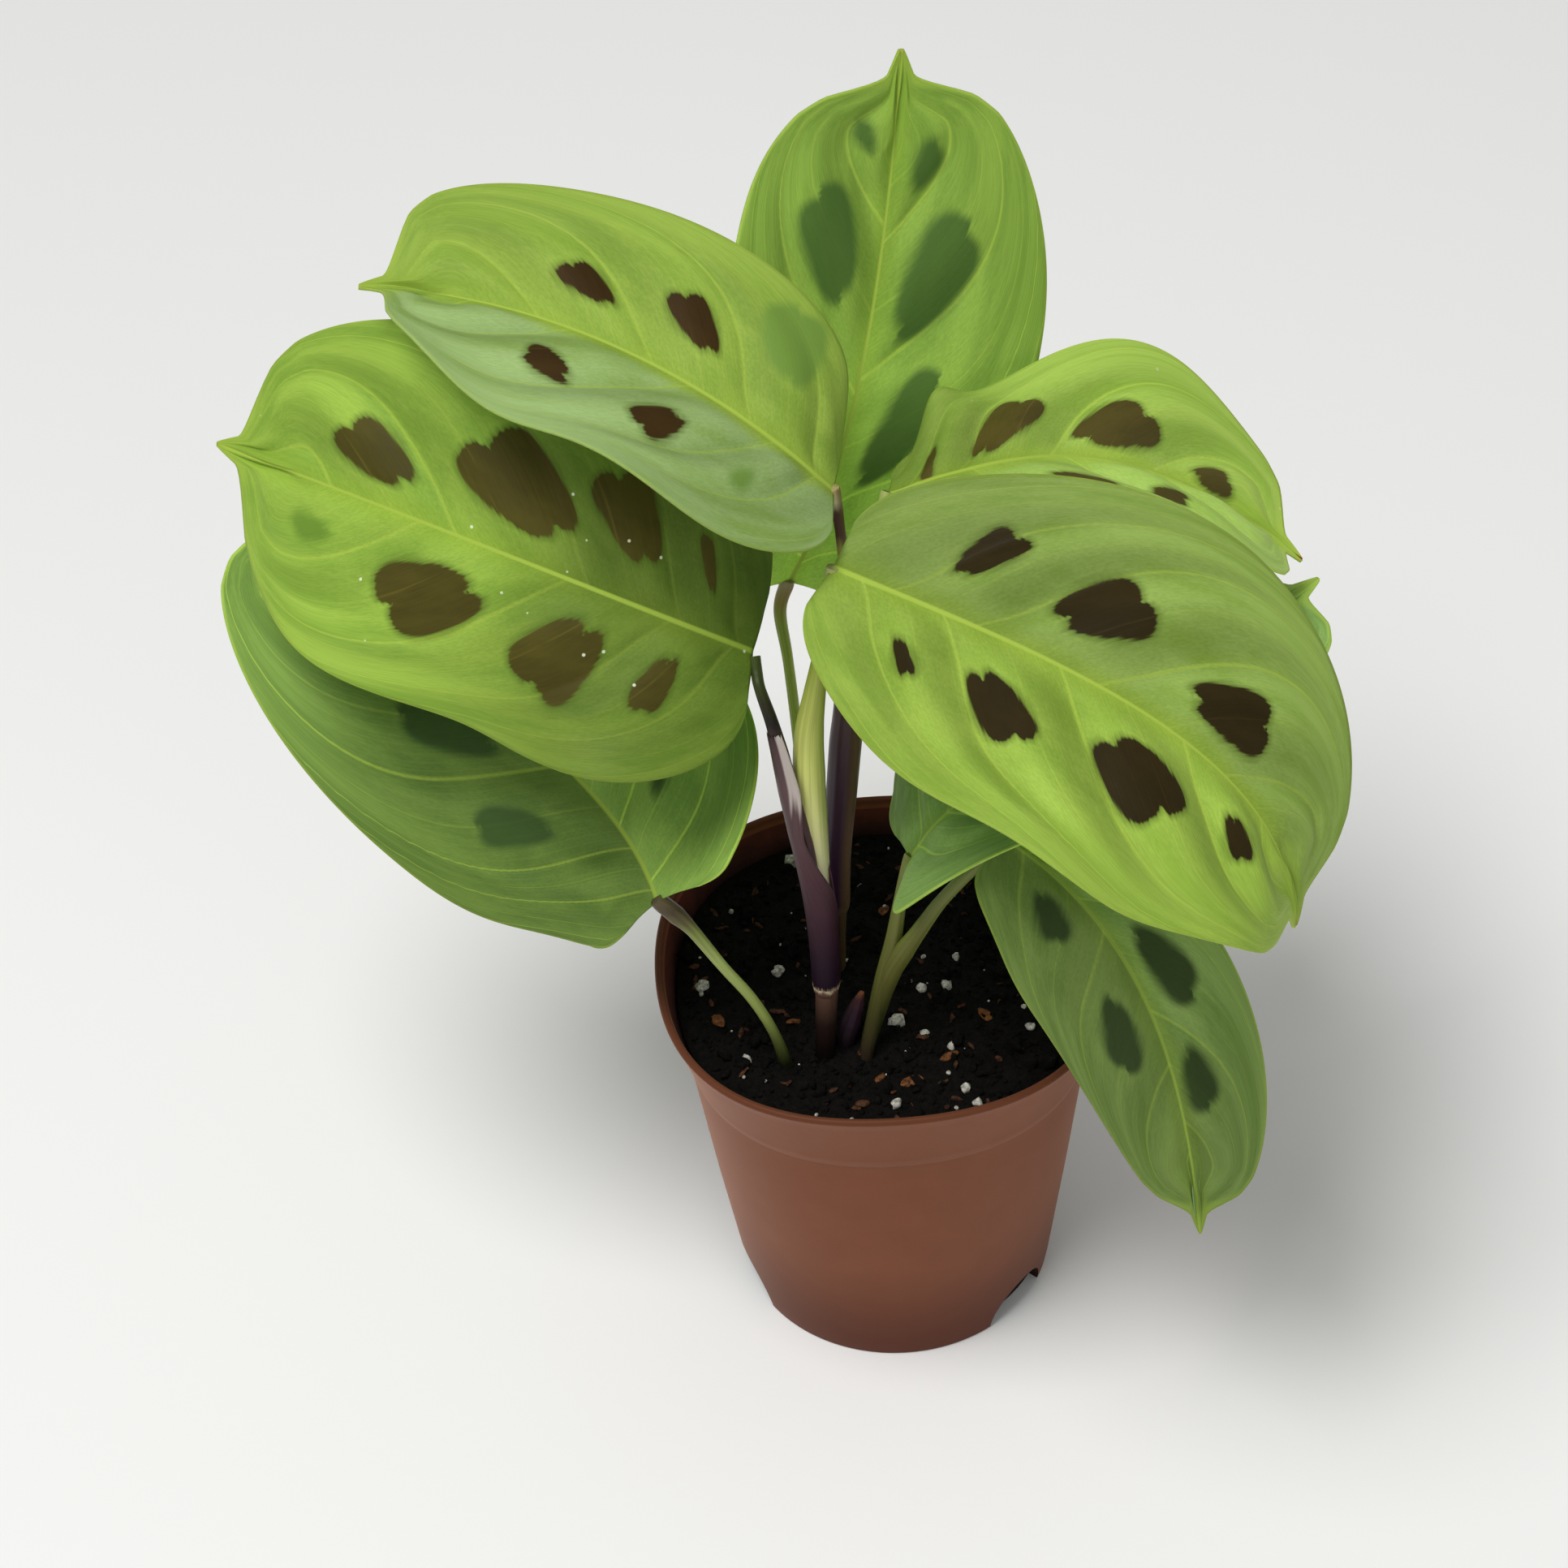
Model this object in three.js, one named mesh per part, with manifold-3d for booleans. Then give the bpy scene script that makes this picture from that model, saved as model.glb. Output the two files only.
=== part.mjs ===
// A young prayer plant in a small plastic nursery pot. Millimetres, +Z up.
// The origin is the middle of the pot's underside, and +X points to the right as the plant is seen.
import * as THREE from 'three';
import { mergeVertices } from 'three/addons/utils/BufferGeometryUtils.js';
import Module from 'manifold-3d';

const wasm = await Module();
wasm.setup();

// Driving dimensions of the pot
const pot = {
  height: 83,
  rimRadius: 45,
  collarHeight: 17,
  collarRadius: 40,
  footRadius: 31.2,
  wall: 1.1,
  lipRound: 0.55,
  floor: 1.2,
  squareness: 0.026,
  roundBelow: 30,
  slotWidth: 16,
  slotHeight: 9.2,
  slotInset: 6,
  slotLength: 20,
  slotAngles: [318, 198, 78],
  segments: 48,
};

// Driving dimensions of the soil and what is mixed in it. Pitches are in radians for each mm.
const soil = {
  top: 76,
  edgeDrop: 1,
  wallGap: 0.45,
  floorGap: 0.3,
  relief: 0.7,
  crumbPitch: [0.55, 0.47],
  swing: [1.3, 1],
  swingPitch: [0.31, 0.23],
  finePitch: [0.6, -0.5],
  fineShare: 0.4,
  rings: 8,
  grains: 34,
  grainRadius: [1.1, 1.8],
  chips: 14,
  chipSize: [5.5, 2.6, 1.4],
  chipTilt: [0.3, 0.2],
  sink: 0.2,
  wallClear: 5,
  stemClear: 7,
  seed: 7,
};

// A stem goes this far into its hole, and the hole is this much wider and deeper
const rootDepth = 10;
const fitGap = 0.3;

// Blades: thickness, the number of cells along and across, and what their outlines and edge waves share
const blade = {
  thickness: 0.7,
  cellsAlong: 18,
  cellsAcross: 10,
  baseAngle: 0.12,
  tipWidth: 0.15,
  tipLength: 0.09,
  tipPower: 1.1,
  leastWidth: 0.012,
  bodyEnd: 0.965,
  lobeAngle: 0.38,
  lobeSpread: 0.32,
  rowBend: 1.5,
  waves: 1.6,
  waveLag: 1.2,
  waveReach: 30,
};

// Each leaf has a midrib from base to tip through two pulls, the way its face looks, and its section:
// roll turns the blade about its midrib and fold lifts each half, both in degrees at the base and the tip,
// and curl bends each half by so many degrees out to its edge. Pairs are left and right of the midrib.
// halfWidth is in mm, full is how square the outline is, widest is where along the midrib, lobe is how far
// the base reaches back, and wave is how many mm the edge waves.
const leaves = {
  leaf_back: {
    midrib: [[-13.3, 33, 148.4], [-0.5, 19.5, 183], [8, 56, 202], [12.5, 62.5, 242]],
    face: [0.05, -0.9, 0.4],
    roll: [-17, -18],
    halfWidth: [31, 32],
    foldBase: [11, 4],
    foldTip: [10, 19],
    curl: [-8, -3],
    full: [2.3, 2.1],
    widest: [0.49, 0.47],
    lobe: 0.06,
    wave: [3, 1],
    wavePhase: 45,
    colour: 0x6fa336,
  },
  leaf_upper_left: {
    midrib: [[-5, -3, 197.5], [-21, -3.5, 219], [-47.5, 29, 218.5], [-83.5, 30, 223]],
    face: [0, -0.15, 1],
    roll: [-3, -6],
    halfWidth: [28, 27],
    foldBase: [7, 8],
    foldTip: [25, 33],
    curl: [-13, -9],
    full: [2.3, 2.6],
    widest: [0.47, 0.49],
    lobe: 0.01,
    wave: [-4, -1],
    wavePhase: -5,
    colour: 0x97bf46,
  },
  leaf_right_back: {
    midrib: [[4.5, 8.5, 187], [29.5, 0.5, 202], [50, 29, 183], [82, 31.5, 146.5]],
    face: [0.1, -0.1, 1],
    roll: [22, 12],
    halfWidth: [25, 25],
    foldBase: [4, -16],
    foldTip: [40, -3],
    curl: [5, 4],
    full: [2.2, 2.0],
    widest: [0.51, 0.47],
    lobe: 0.05,
    wave: [7.5, -2.5],
    wavePhase: -25,
    colour: 0x8fb93f,
  },
  leaf_front_right: {
    midrib: [[-6, -13.5, 189.5], [29, -40.5, 189], [65.5, -56.5, 181], [68, -56.5, 139.5]],
    face: [0.15, -0.35, 1],
    roll: [-7, 19],
    halfWidth: [35.5, 36],
    foldBase: [17, 2],
    foldTip: [7, 16],
    curl: [3, -25],
    full: [1.8, 1.7],
    widest: [0.5, 0.49],
    lobe: 0.01,
    wave: [-0.5, -3.5],
    wavePhase: 35,
    colour: 0x8dba3c,
  },
  leaf_left: {
    midrib: [[-20.5, -6.5, 166], [-43, -16, 188], [-79.5, 5, 193.5], [-113.5, 34, 188.5]],
    face: [-0.1, -0.45, 1],
    roll: [32, 40],
    halfWidth: [32, 35],
    foldBase: [19, -6],
    foldTip: [-8, -4],
    curl: [2, -15],
    full: [2.4, 2.3],
    widest: [0.5, 0.5],
    lobe: 0.01,
    wave: [-5.5, 1],
    wavePhase: 110,
    colour: 0x93bd38,
  },
  leaf_lower_left: {
    midrib: [[-41, -20.5, 120.5], [-47, 4, 133.5], [-83, 17.5, 147], [-108.5, 54, 162.5]],
    face: [-0.1, -0.3, 1],
    roll: [41, -16],
    halfWidth: [33.5, 33],
    foldBase: [0, 4],
    foldTip: [6, -16],
    curl: [-12, -15],
    full: [2.3, 2.4],
    widest: [0.46, 0.41],
    lobe: 0.05,
    wave: [0, -4],
    wavePhase: -40,
    colour: 0x4f8235,
  },
  leaf_lower_right: {
    midrib: [[22, -27, 136], [44.5, -42, 126], [51, -51, 98.5], [52.5, -64.5, 70.5]],
    face: [0.25, -0.8, 0.5],
    roll: [12, -19],
    halfWidth: [20, 20],
    foldBase: [-26, -20],
    foldTip: [-8, -35],
    curl: [-10, -12],
    full: [2.0, 2.1],
    widest: [0.46, 0.43],
    lobe: 0.04,
    wave: [1, -0.5],
    wavePhase: -30,
    colour: 0x5c8a45,
  },
  leaf_under_right: {
    midrib: [[5, -15, 121.5], [18.5, -15.5, 149], [50.5, 6, 136], [86, 35.5, 138.5]],
    face: [0, -0.2, 1],
    roll: [19, 4],
    halfWidth: [27, 27.5],
    foldBase: [6, 20],
    foldTip: [5, 8],
    curl: [-7, -10],
    full: [2.2, 2.3],
    widest: [0.45, 0.45],
    lobe: 0.06,
    wave: [0, 2],
    wavePhase: -5,
    colour: 0x55853a,
  },
};

// Each stem is a list of points with the radius there. The first point of a rooted stem is at the soil.
const stems = {
  front: [
    [-12.5, -19.4, 76, 1.8],
    [-11.9, -18.6, 86, 2],
    [-11.5, -18, 92.4, 2.1],
    [-11.5, -18, 93.4, 2.5],
    [-11.4, -17.2, 101.5, 2.7],
    [-11.6, -16.6, 111.5, 2.9],
    [-12.4, -16.2, 121.5, 3],
    [-13.8, -15.8, 131.5, 2.9],
    [-15.4, -15.2, 141, 2.5],
    [-16.8, -14.6, 149.5, 1.9],
    [-18.2, -13.8, 156, 1.2],
    [-19.8, -11.4, 161.5, 1],
    [-20.2, -8.9, 163.3, 1],
  ],
  pale: [
    [-11.1, -14.6, 110, 1],
    [-11.4, -14.1, 116, 1.7],
    [-11.8, -13.8, 124, 2.2],
    [-12.1, -13.6, 133.5, 2.6],
    [-12.2, -13.6, 143, 2.8],
    [-11.7, -13.6, 153, 2.5],
    [-10.3, -14, 162.5, 1.9],
    [-8.6, -14.2, 173, 1.2],
    [-7.2, -14, 182, 1],
    [-6.3, -13.8, 188.2, 1.1],
  ],
  back: [
    [-8.8, 3.5, 76, 1.5],
    [-8.7, 0.8, 88, 1.7],
    [-8.5, -1.6, 97.5, 1.9],
    [-8.4, -1.9, 98.8, 2.4],
    [-7.9, -3.6, 113.5, 2.6],
    [-6.5, -4.6, 129, 2.8],
    [-5.3, -5.4, 142, 2.9],
    [-4.2, -5.2, 152, 2.7],
    [-3.8, -3.4, 163, 1.7],
    [-3.6, -1.6, 176, 1.1],
    [-4.2, -1.8, 188, 0.9],
    [-4.8, -2.9, 196.5, 1],
  ],
  backFork: [
    [-4.2, -4.6, 154, 1.6],
    [-2.2, -1.4, 165, 1.2],
    [1.2, 4, 177, 1],
    [3.9, 7.6, 185.6, 1.1],
  ],
  petioleBack: [
    [-12, -3, 76, 1.2],
    [-12.8, 7, 97, 1],
    [-13.5, 19, 119, 1],
    [-14.4, 27, 134, 1],
    [-15.3, 31.6, 142.5, 1.1],
    [-13.8, 32.9, 147.7, 1.2],
  ],
  petioleLeft: [
    [-19.9, -21.8, 76, 1.3],
    [-21.7, -22, 85.5, 1],
    [-25.2, -22, 95, 1],
    [-30.1, -21.6, 103.7, 1],
    [-35, -21.1, 113, 1.2],
    [-37.6, -20.8, 116.8, 1.7],
    [-40.1, -20.6, 119.9, 1.6],
  ],
  rightInner: [
    [-4.8, -20.2, 76, 1.4],
    [-3, -18.6, 84, 1.5],
    [-0.9, -17.7, 93.7, 1.6],
    [1.3, -17, 103, 1.5],
    [2.9, -16.4, 112.5, 1.2],
    [4.6, -15.3, 120.6, 1.1],
  ],
  rightOuter: [
    [-4.6, -19.6, 77, 1.4],
    [-2.1, -17.8, 86, 1.7],
    [0.7, -18.2, 96, 1.9],
    [3.1, -18.9, 101.8, 1.9],
    [5.6, -20, 107.3, 1.5],
    [10.1, -22, 117.2, 1.2],
    [15.9, -24.4, 127.2, 1.1],
    [20.6, -26.3, 134, 1.1],
  ],
  bud: [
    [-8.6, -16.6, 76, 1.8],
    [-7.4, -15.2, 79.5, 2],
    [-6, -14, 83, 1.4],
    [-4.8, -13.2, 86, 0.5],
  ],
};

// Roughness of the living parts and of the soil
const leafRoughness = 0.55;
const stemRoughness = 0.5;
const soilRoughness = 0.95;
const potRoughness = 0.5;

const radians = THREE.MathUtils.degToRad;
const lerp = THREE.MathUtils.lerp;
const clamp = THREE.MathUtils.clamp;

// A seeded draw between 0 and 1
function seeded(seed) {
  const multiplier = 16807;
  const modulus = 2147483647;
  let state = seed;
  return () => {
    state = (state * multiplier) % modulus;
    return state / modulus;
  };
}

function signedVolume(points, triangles) {
  const corner = [new THREE.Vector3(), new THREE.Vector3(), new THREE.Vector3()];
  let volume = 0;
  for (let i = 0; i < triangles.length; i += 3) {
    corner.forEach((c, k) => c.fromBufferAttribute(points, triangles[i + k]));
    volume += corner[0].dot(corner[1].cross(corner[2])) / 6;
  }
  return volume;
}

// A closed body with shared corners, no flat triangles and its faces pointing out
function closed(geometry) {
  const sameCorner = 1e-4;
  geometry.deleteAttribute('normal');
  geometry.deleteAttribute('uv');
  const merged = mergeVertices(geometry, sameCorner);
  const kept = [];
  const index = merged.index.array;
  for (let i = 0; i < index.length; i += 3) {
    const [a, b, c] = [index[i], index[i + 1], index[i + 2]];
    if (a !== b && b !== c && c !== a) kept.push(a, b, c);
  }
  if (signedVolume(merged.attributes.position, kept) < 0) kept.reverse();
  merged.setIndex(kept);
  return merged;
}

function toManifold(geometry) {
  const body = closed(geometry);
  return new wasm.Manifold(new wasm.Mesh({
    numProp: 3,
    vertProperties: Float32Array.from(body.attributes.position.array),
    triVerts: Uint32Array.from(body.index.array),
  }));
}

function fromManifold(manifold) {
  const mesh = manifold.getMesh();
  const geometry = new THREE.BufferGeometry();
  geometry.setAttribute('position', new THREE.Float32BufferAttribute(mesh.vertProperties, 3));
  geometry.setIndex(Array.from(mesh.triVerts));
  return geometry;
}

// A closed body from a list of rings of points, with a fan over each end
function fromRings(rings) {
  const sides = rings[0].length;
  const positions = rings.flat().flatMap((p) => [p.x, p.y, p.z]);
  const index = [];
  for (let r = 0; r < rings.length - 1; r += 1) {
    for (let s = 0; s < sides; s += 1) {
      const a = r * sides + s;
      const b = r * sides + ((s + 1) % sides);
      index.push(a, b, b + sides, a, b + sides, a + sides);
    }
  }
  const last = (rings.length - 1) * sides;
  for (let s = 1; s < sides - 1; s += 1) {
    index.push(0, s + 1, s, last, last + s, last + s + 1);
  }
  const geometry = new THREE.BufferGeometry();
  geometry.setAttribute('position', new THREE.Float32BufferAttribute(positions, 3));
  geometry.setIndex(index);
  return geometry;
}

// A round stem through points that each carry a radius. A rooted stem goes on down into the soil.
function stem(points, { sides = 10, steps = 2, rooted = false, grow = 0 } = {}) {
  const list = rooted ? [[points[0][0], points[0][1], points[0][2] - rootDepth - grow, points[0][3]], ...points]
    : points;
  const curve = new THREE.CatmullRomCurve3(list.map((p) => new THREE.Vector3(p[0], p[1], p[2])), false, 'centripetal');
  const count = (list.length - 1) * steps;
  const rings = [];
  for (let i = 0; i <= count; i += 1) {
    const t = i / count;
    const place = t * (list.length - 1);
    const k = Math.min(Math.floor(place), list.length - 2);
    const radius = lerp(list[k][3], list[k + 1][3], place - k) + grow;
    const centre = curve.getPoint(t);
    const along = curve.getTangent(t);
    const across = new THREE.Vector3(1, 0, 0).addScaledVector(along, -along.x).normalize();
    const over = along.clone().cross(across);
    const ring = [];
    for (let s = 0; s < sides; s += 1) {
      const angle = (2 * Math.PI * s) / sides;
      ring.push(centre.clone().addScaledVector(across, radius * Math.cos(angle))
        .addScaledVector(over, radius * Math.sin(angle)));
    }
    rings.push(ring);
  }
  return fromRings(rings);
}

// Where the outline of one half is, from the base lobe round to the tip: how far along the midrib,
// and how wide as a share of the half width
function outline(u, full, widest, lobe) {
  const angle = blade.baseAngle + (Math.PI - blade.baseAngle) * u;
  const along = (1 - Math.cos(angle)) / 2;
  const reach = along < widest ? widest : blade.bodyEnd - widest;
  const away = clamp(Math.abs(along - widest) / reach, 0, 1);
  const body = (1 - away ** full) ** (1 / full);
  const tip = blade.tipWidth * clamp((1 - along) / blade.tipLength, 0, 1) ** blade.tipPower;
  const back = lobe * Math.exp(-(((angle - blade.lobeAngle) / blade.lobeSpread) ** 2));
  return { along: along - back, wide: body * (1 - blade.tipWidth) + tip + blade.leastWidth };
}

// A point of the blade's middle sheet. u runs from base to tip and v from the left edge, -1, to the right, 1.
function sheetPoint(leaf, u, v) {
  const side = v < 0 ? 0 : 1;
  const edge = outline(u, leaf.full[side], leaf.widest[side], leaf.lobe);
  const along = u + (edge.along - u) * Math.abs(v) ** blade.rowBend;
  const t = clamp(along, 0, 1);
  const [p0, p1, p2, p3] = leaf.midrib.map((p) => new THREE.Vector3(...p));
  const curve = new THREE.CubicBezierCurve3(p0, p1, p2, p3);
  const pull = [p1.clone().sub(p0), p2.clone().sub(p1), p3.clone().sub(p2)];
  const speed = pull[0].multiplyScalar(3 * (1 - t) ** 2)
    .addScaledVector(pull[1], 6 * (1 - t) * t)
    .addScaledVector(pull[2], 3 * t ** 2);
  const centre = curve.getPoint(t).addScaledVector(speed, along - t);
  const forward = speed.clone().normalize();
  const across = forward.clone().cross(new THREE.Vector3(...leaf.face)).normalize();
  const up = across.clone().cross(forward);
  const roll = radians(lerp(leaf.roll[0], leaf.roll[1], t));
  const turned = across.clone().multiplyScalar(Math.cos(roll)).addScaledVector(up, Math.sin(roll));
  const normal = up.multiplyScalar(Math.cos(roll)).addScaledVector(across, -Math.sin(roll));
  const width = leaf.halfWidth[side];
  const distance = Math.abs(v) * edge.wide * width;
  const start = radians(lerp(leaf.foldBase[side], leaf.foldTip[side], t));
  const bend = radians(leaf.curl[side] || 0.1) / width;
  const out = (Math.sin(start + bend * distance) - Math.sin(start)) / bend;
  const lift = (Math.cos(start) - Math.cos(start + bend * distance)) / bend;
  const phase = 2 * Math.PI * blade.waves * t + radians(leaf.wavePhase) + (side ? 0 : blade.waveLag);
  const wave = leaf.wave[side] * Math.sin(phase) * (distance / blade.waveReach) ** 2;
  return centre.addScaledVector(turned, side ? out : -out).addScaledVector(normal, lift + wave);
}

// A leaf blade: the same grid on both faces, half the thickness to each side of the sheet, and a rim
function bladeGeometry(leaf) {
  const { cellsAlong, cellsAcross, thickness } = blade;
  const columns = cellsAcross + 1;
  const step = 1e-3;
  const besideMidrib = 0.02;
  const faces = [[], []];
  for (let i = 0; i <= cellsAlong; i += 1) {
    for (let j = 0; j < columns; j += 1) {
      const u = i / cellsAlong;
      const v = (2 * j) / cellsAcross - 1;
      const u0 = clamp(u - step, 0, 1);
      const u1 = clamp(u + step, 0, 1);
      const inner = v === 0 ? besideMidrib : v;
      const v0 = clamp(inner - step, -1, 1);
      const v1 = clamp(inner + step, -1, 1);
      const du = sheetPoint(leaf, u1, v).sub(sheetPoint(leaf, u0, v));
      const dv = sheetPoint(leaf, u, v1).sub(sheetPoint(leaf, u, v0));
      if (v === 0) dv.add(sheetPoint(leaf, u, -v0).sub(sheetPoint(leaf, u, -v1)));
      const normal = dv.cross(du).normalize();
      const middle = sheetPoint(leaf, u, v);
      faces[0].push(middle.clone().addScaledVector(normal, thickness / 2));
      faces[1].push(middle.clone().addScaledVector(normal, -thickness / 2));
    }
  }
  const count = faces[0].length;
  const index = [];
  for (let i = 0; i < cellsAlong; i += 1) {
    for (let j = 0; j < cellsAcross; j += 1) {
      const a = i * columns + j;
      const [b, c, d] = [a + 1, a + columns + 1, a + columns];
      const half = j < cellsAcross / 2 ? [[a, b, d], [b, c, d]] : [[a, b, c], [a, c, d]];
      half.forEach(([p, q, r]) => index.push(p, r, q, count + p, count + q, count + r));
    }
  }
  const rim = [];
  for (let j = 0; j < cellsAcross; j += 1) rim.push(j);
  for (let i = 0; i < cellsAlong; i += 1) rim.push(i * columns + cellsAcross);
  for (let j = cellsAcross; j > 0; j -= 1) rim.push(cellsAlong * columns + j);
  for (let i = cellsAlong; i > 0; i -= 1) rim.push(i * columns);
  rim.forEach((p, k) => {
    const q = rim[(k + 1) % rim.length];
    index.push(p, q, count + q, p, count + q, count + p);
  });
  const geometry = new THREE.BufferGeometry();
  const positions = faces.flat().flatMap((p) => [p.x, p.y, p.z]);
  geometry.setAttribute('position', new THREE.Float32BufferAttribute(positions, 3));
  geometry.setIndex(index);
  return geometry;
}

// The pot's outer radius at a height
function wallRadius(z) {
  const collarStart = pot.height - pot.collarHeight;
  return z < collarStart ? lerp(pot.footRadius, pot.collarRadius, z / collarStart)
    : lerp(pot.collarRadius, pot.rimRadius, (z - collarStart) / pot.collarHeight);
}

// Turns a lathe's height from Y to Z, and draws the mouth out to a soft square higher up
function standAndSquare(geometry) {
  geometry.rotateX(Math.PI / 2);
  const place = geometry.attributes.position;
  for (let i = 0; i < place.count; i += 1) {
    const height = clamp((place.getZ(i) - pot.roundBelow) / (pot.height - pot.roundBelow), 0, 1);
    const angle = Math.atan2(place.getY(i), place.getX(i));
    const pull = 1 - pot.squareness * height * Math.cos(4 * angle);
    place.setXY(i, place.getX(i) * pull, place.getY(i) * pull);
  }
  return geometry;
}

function potGeometry() {
  const collarStart = pot.height - pot.collarHeight;
  const inside = (z) => wallRadius(z) - pot.wall;
  const middleOfLip = pot.rimRadius - pot.wall / 2;
  const profile = [
    [0, 0],
    [pot.footRadius, 0],
    [wallRadius(collarStart), collarStart],
    [wallRadius(pot.height - pot.lipRound), pot.height - pot.lipRound],
    [middleOfLip, pot.height],
    [inside(pot.height - pot.lipRound), pot.height - pot.lipRound],
    [inside(collarStart), collarStart],
    [inside(pot.floor), pot.floor],
    [0, pot.floor],
  ].map(([r, z]) => new THREE.Vector2(r, z));
  const shell = toManifold(standAndSquare(new THREE.LatheGeometry(profile, pot.segments)));
  return fromManifold(pot.slotAngles.reduce((body, angle) => body.subtract(slotCutter(angle)), shell));
}

// An arched cutter that lies along a radius and opens the foot of the wall and the edge of the floor
function slotCutter(angle) {
  const sides = 20;
  const cutter = new THREE.CylinderGeometry(1, 1, pot.slotLength, sides);
  cutter.rotateZ(Math.PI / 2);
  cutter.scale(1, pot.slotWidth / 2, pot.slotHeight);
  cutter.translate(pot.footRadius - pot.slotInset + pot.slotLength / 2, 0, 0);
  cutter.rotateZ(radians(angle));
  return toManifold(cutter);
}

// Height of the soil's surface, crumbled by a few crossing waves
function soilHeight(x, y) {
  const { crumbPitch, swing, swingPitch, finePitch, fineShare } = soil;
  const alongX = Math.sin(crumbPitch[0] * x + swing[0] * Math.sin(swingPitch[0] * y));
  const alongY = Math.cos(crumbPitch[1] * y + swing[1] * Math.sin(swingPitch[1] * x));
  const fine = fineShare * Math.sin(finePitch[0] * x + finePitch[1] * y);
  return soil.top + (soil.relief * (alongX * alongY + fine)) / (1 + fineShare);
}

function soilGeometry() {
  const bottom = pot.floor + soil.floorGap;
  const edge = soil.top - soil.edgeDrop;
  const fits = (z) => wallRadius(z) - pot.wall - soil.wallGap;
  const collarStart = pot.height - pot.collarHeight;
  const profile = [[0, bottom], [fits(bottom), bottom], [fits(collarStart), collarStart], [fits(edge), edge]];
  for (let k = soil.rings - 1; k >= 0; k -= 1) profile.push([(fits(edge) * k) / soil.rings, soil.top]);
  const lathe = new THREE.LatheGeometry(profile.map(([r, z]) => new THREE.Vector2(r, z)), pot.segments);
  const body = standAndSquare(lathe);
  const place = body.attributes.position;
  for (let i = 0; i < place.count; i += 1) {
    if (place.getZ(i) > edge + soil.edgeDrop / 2) place.setZ(i, soilHeight(place.getX(i), place.getY(i)));
  }
  let bed = toManifold(body);
  const draw = seeded(soil.seed);
  const room = fits(edge) - soil.wallClear;
  for (let i = 0; i < soil.grains + soil.chips; i += 1) {
    const distance = room * Math.sqrt(draw());
    const angle = 2 * Math.PI * draw();
    const [x, y] = [distance * Math.cos(angle), distance * Math.sin(angle)];
    const turn = 2 * Math.PI * draw();
    const radius = lerp(soil.grainRadius[0], soil.grainRadius[1], draw());
    if (nearStem(x, y)) continue;
    const isGrain = i < soil.grains;
    const piece = isGrain ? new THREE.OctahedronGeometry(radius) : new THREE.BoxGeometry(...soil.chipSize);
    piece.rotateX(soil.chipTilt[0]).rotateY(soil.chipTilt[1]).rotateZ(turn);
    piece.translate(x, y, soilHeight(x, y) - soil.sink);
    bed = bed.add(toManifold(piece));
  }
  rootedStems.forEach((points) => {
    bed = bed.subtract(toManifold(stem(holeAbove(points), { rooted: true, grow: fitGap })));
  });
  return fromManifold(bed);
}

// Stems that stand in the soil
const rootedStems = [
  stems.front, stems.back, stems.petioleBack, stems.petioleLeft, stems.rightInner, stems.rightOuter, stems.bud,
];

// The part of a stem that its hole in the soil follows
function holeAbove(points) {
  return points.slice(0, 2);
}

function nearStem(x, y) {
  return rootedStems.some((points) => Math.hypot(x - points[0][0], y - points[0][1]) < soil.stemClear);
}

function material(colour, roughness) {
  return new THREE.MeshStandardMaterial({ color: colour, roughness, metalness: 0 });
}

function join(...geometries) {
  const bodies = geometries.map(toManifold);
  return bodies.reduce((body, next) => body.add(next));
}

const plant = new THREE.Group();

function place(name, geometry, colour, roughness) {
  const mesh = new THREE.Mesh(geometry, material(colour, roughness));
  mesh.name = name;
  plant.add(mesh);
}

place('pot', potGeometry(), 0x8a5a43, potRoughness);
place('soil', soilGeometry(), 0x1c1613, soilRoughness);

const [footX, footY, footZ, footRadius] = stems.pale[0];
const channelPoints = [[footX, footY, footZ - 2 * fitGap, footRadius], ...stems.pale];
const channel = toManifold(stem(channelPoints, { grow: fitGap }));
const frontShoot = toManifold(stem(stems.front, { rooted: true }));
place('shoot_front', fromManifold(frontShoot.subtract(channel)), 0x5a3a4c, stemRoughness);
place('shoot_pale', closed(stem(stems.pale)), 0xa9b052, stemRoughness);
const backShoot = join(stem(stems.back, { rooted: true }), stem(stems.backFork));
place('shoot_back', fromManifold(backShoot), 0x3c2428, stemRoughness);
place('petiole_back', closed(stem(stems.petioleBack, { rooted: true })), 0x7a9a3c, stemRoughness);
place('petiole_left', closed(stem(stems.petioleLeft, { rooted: true })), 0x7c9440, stemRoughness);
const rightShoot = join(
  stem(stems.rightInner, { rooted: true }),
  stem(stems.rightOuter, { rooted: true }),
);
place('shoot_right', fromManifold(rightShoot), 0x6f8437, stemRoughness);
place('bud', closed(stem(stems.bud, { rooted: true })), 0x3a2430, stemRoughness);

Object.entries(leaves).forEach(([name, leaf]) => {
  place(name, closed(bladeGeometry(leaf)), leaf.colour, leafRoughness);
});

export default plant;
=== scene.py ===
"""A young prayer plant in a small moulded nursery pot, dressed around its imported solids."""

import math

import bmesh
import bpy
import numpy as np
from bpy.props import FloatProperty, FloatVectorProperty, IntProperty, PointerProperty
from mathutils import Matrix, Vector, noise


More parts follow.
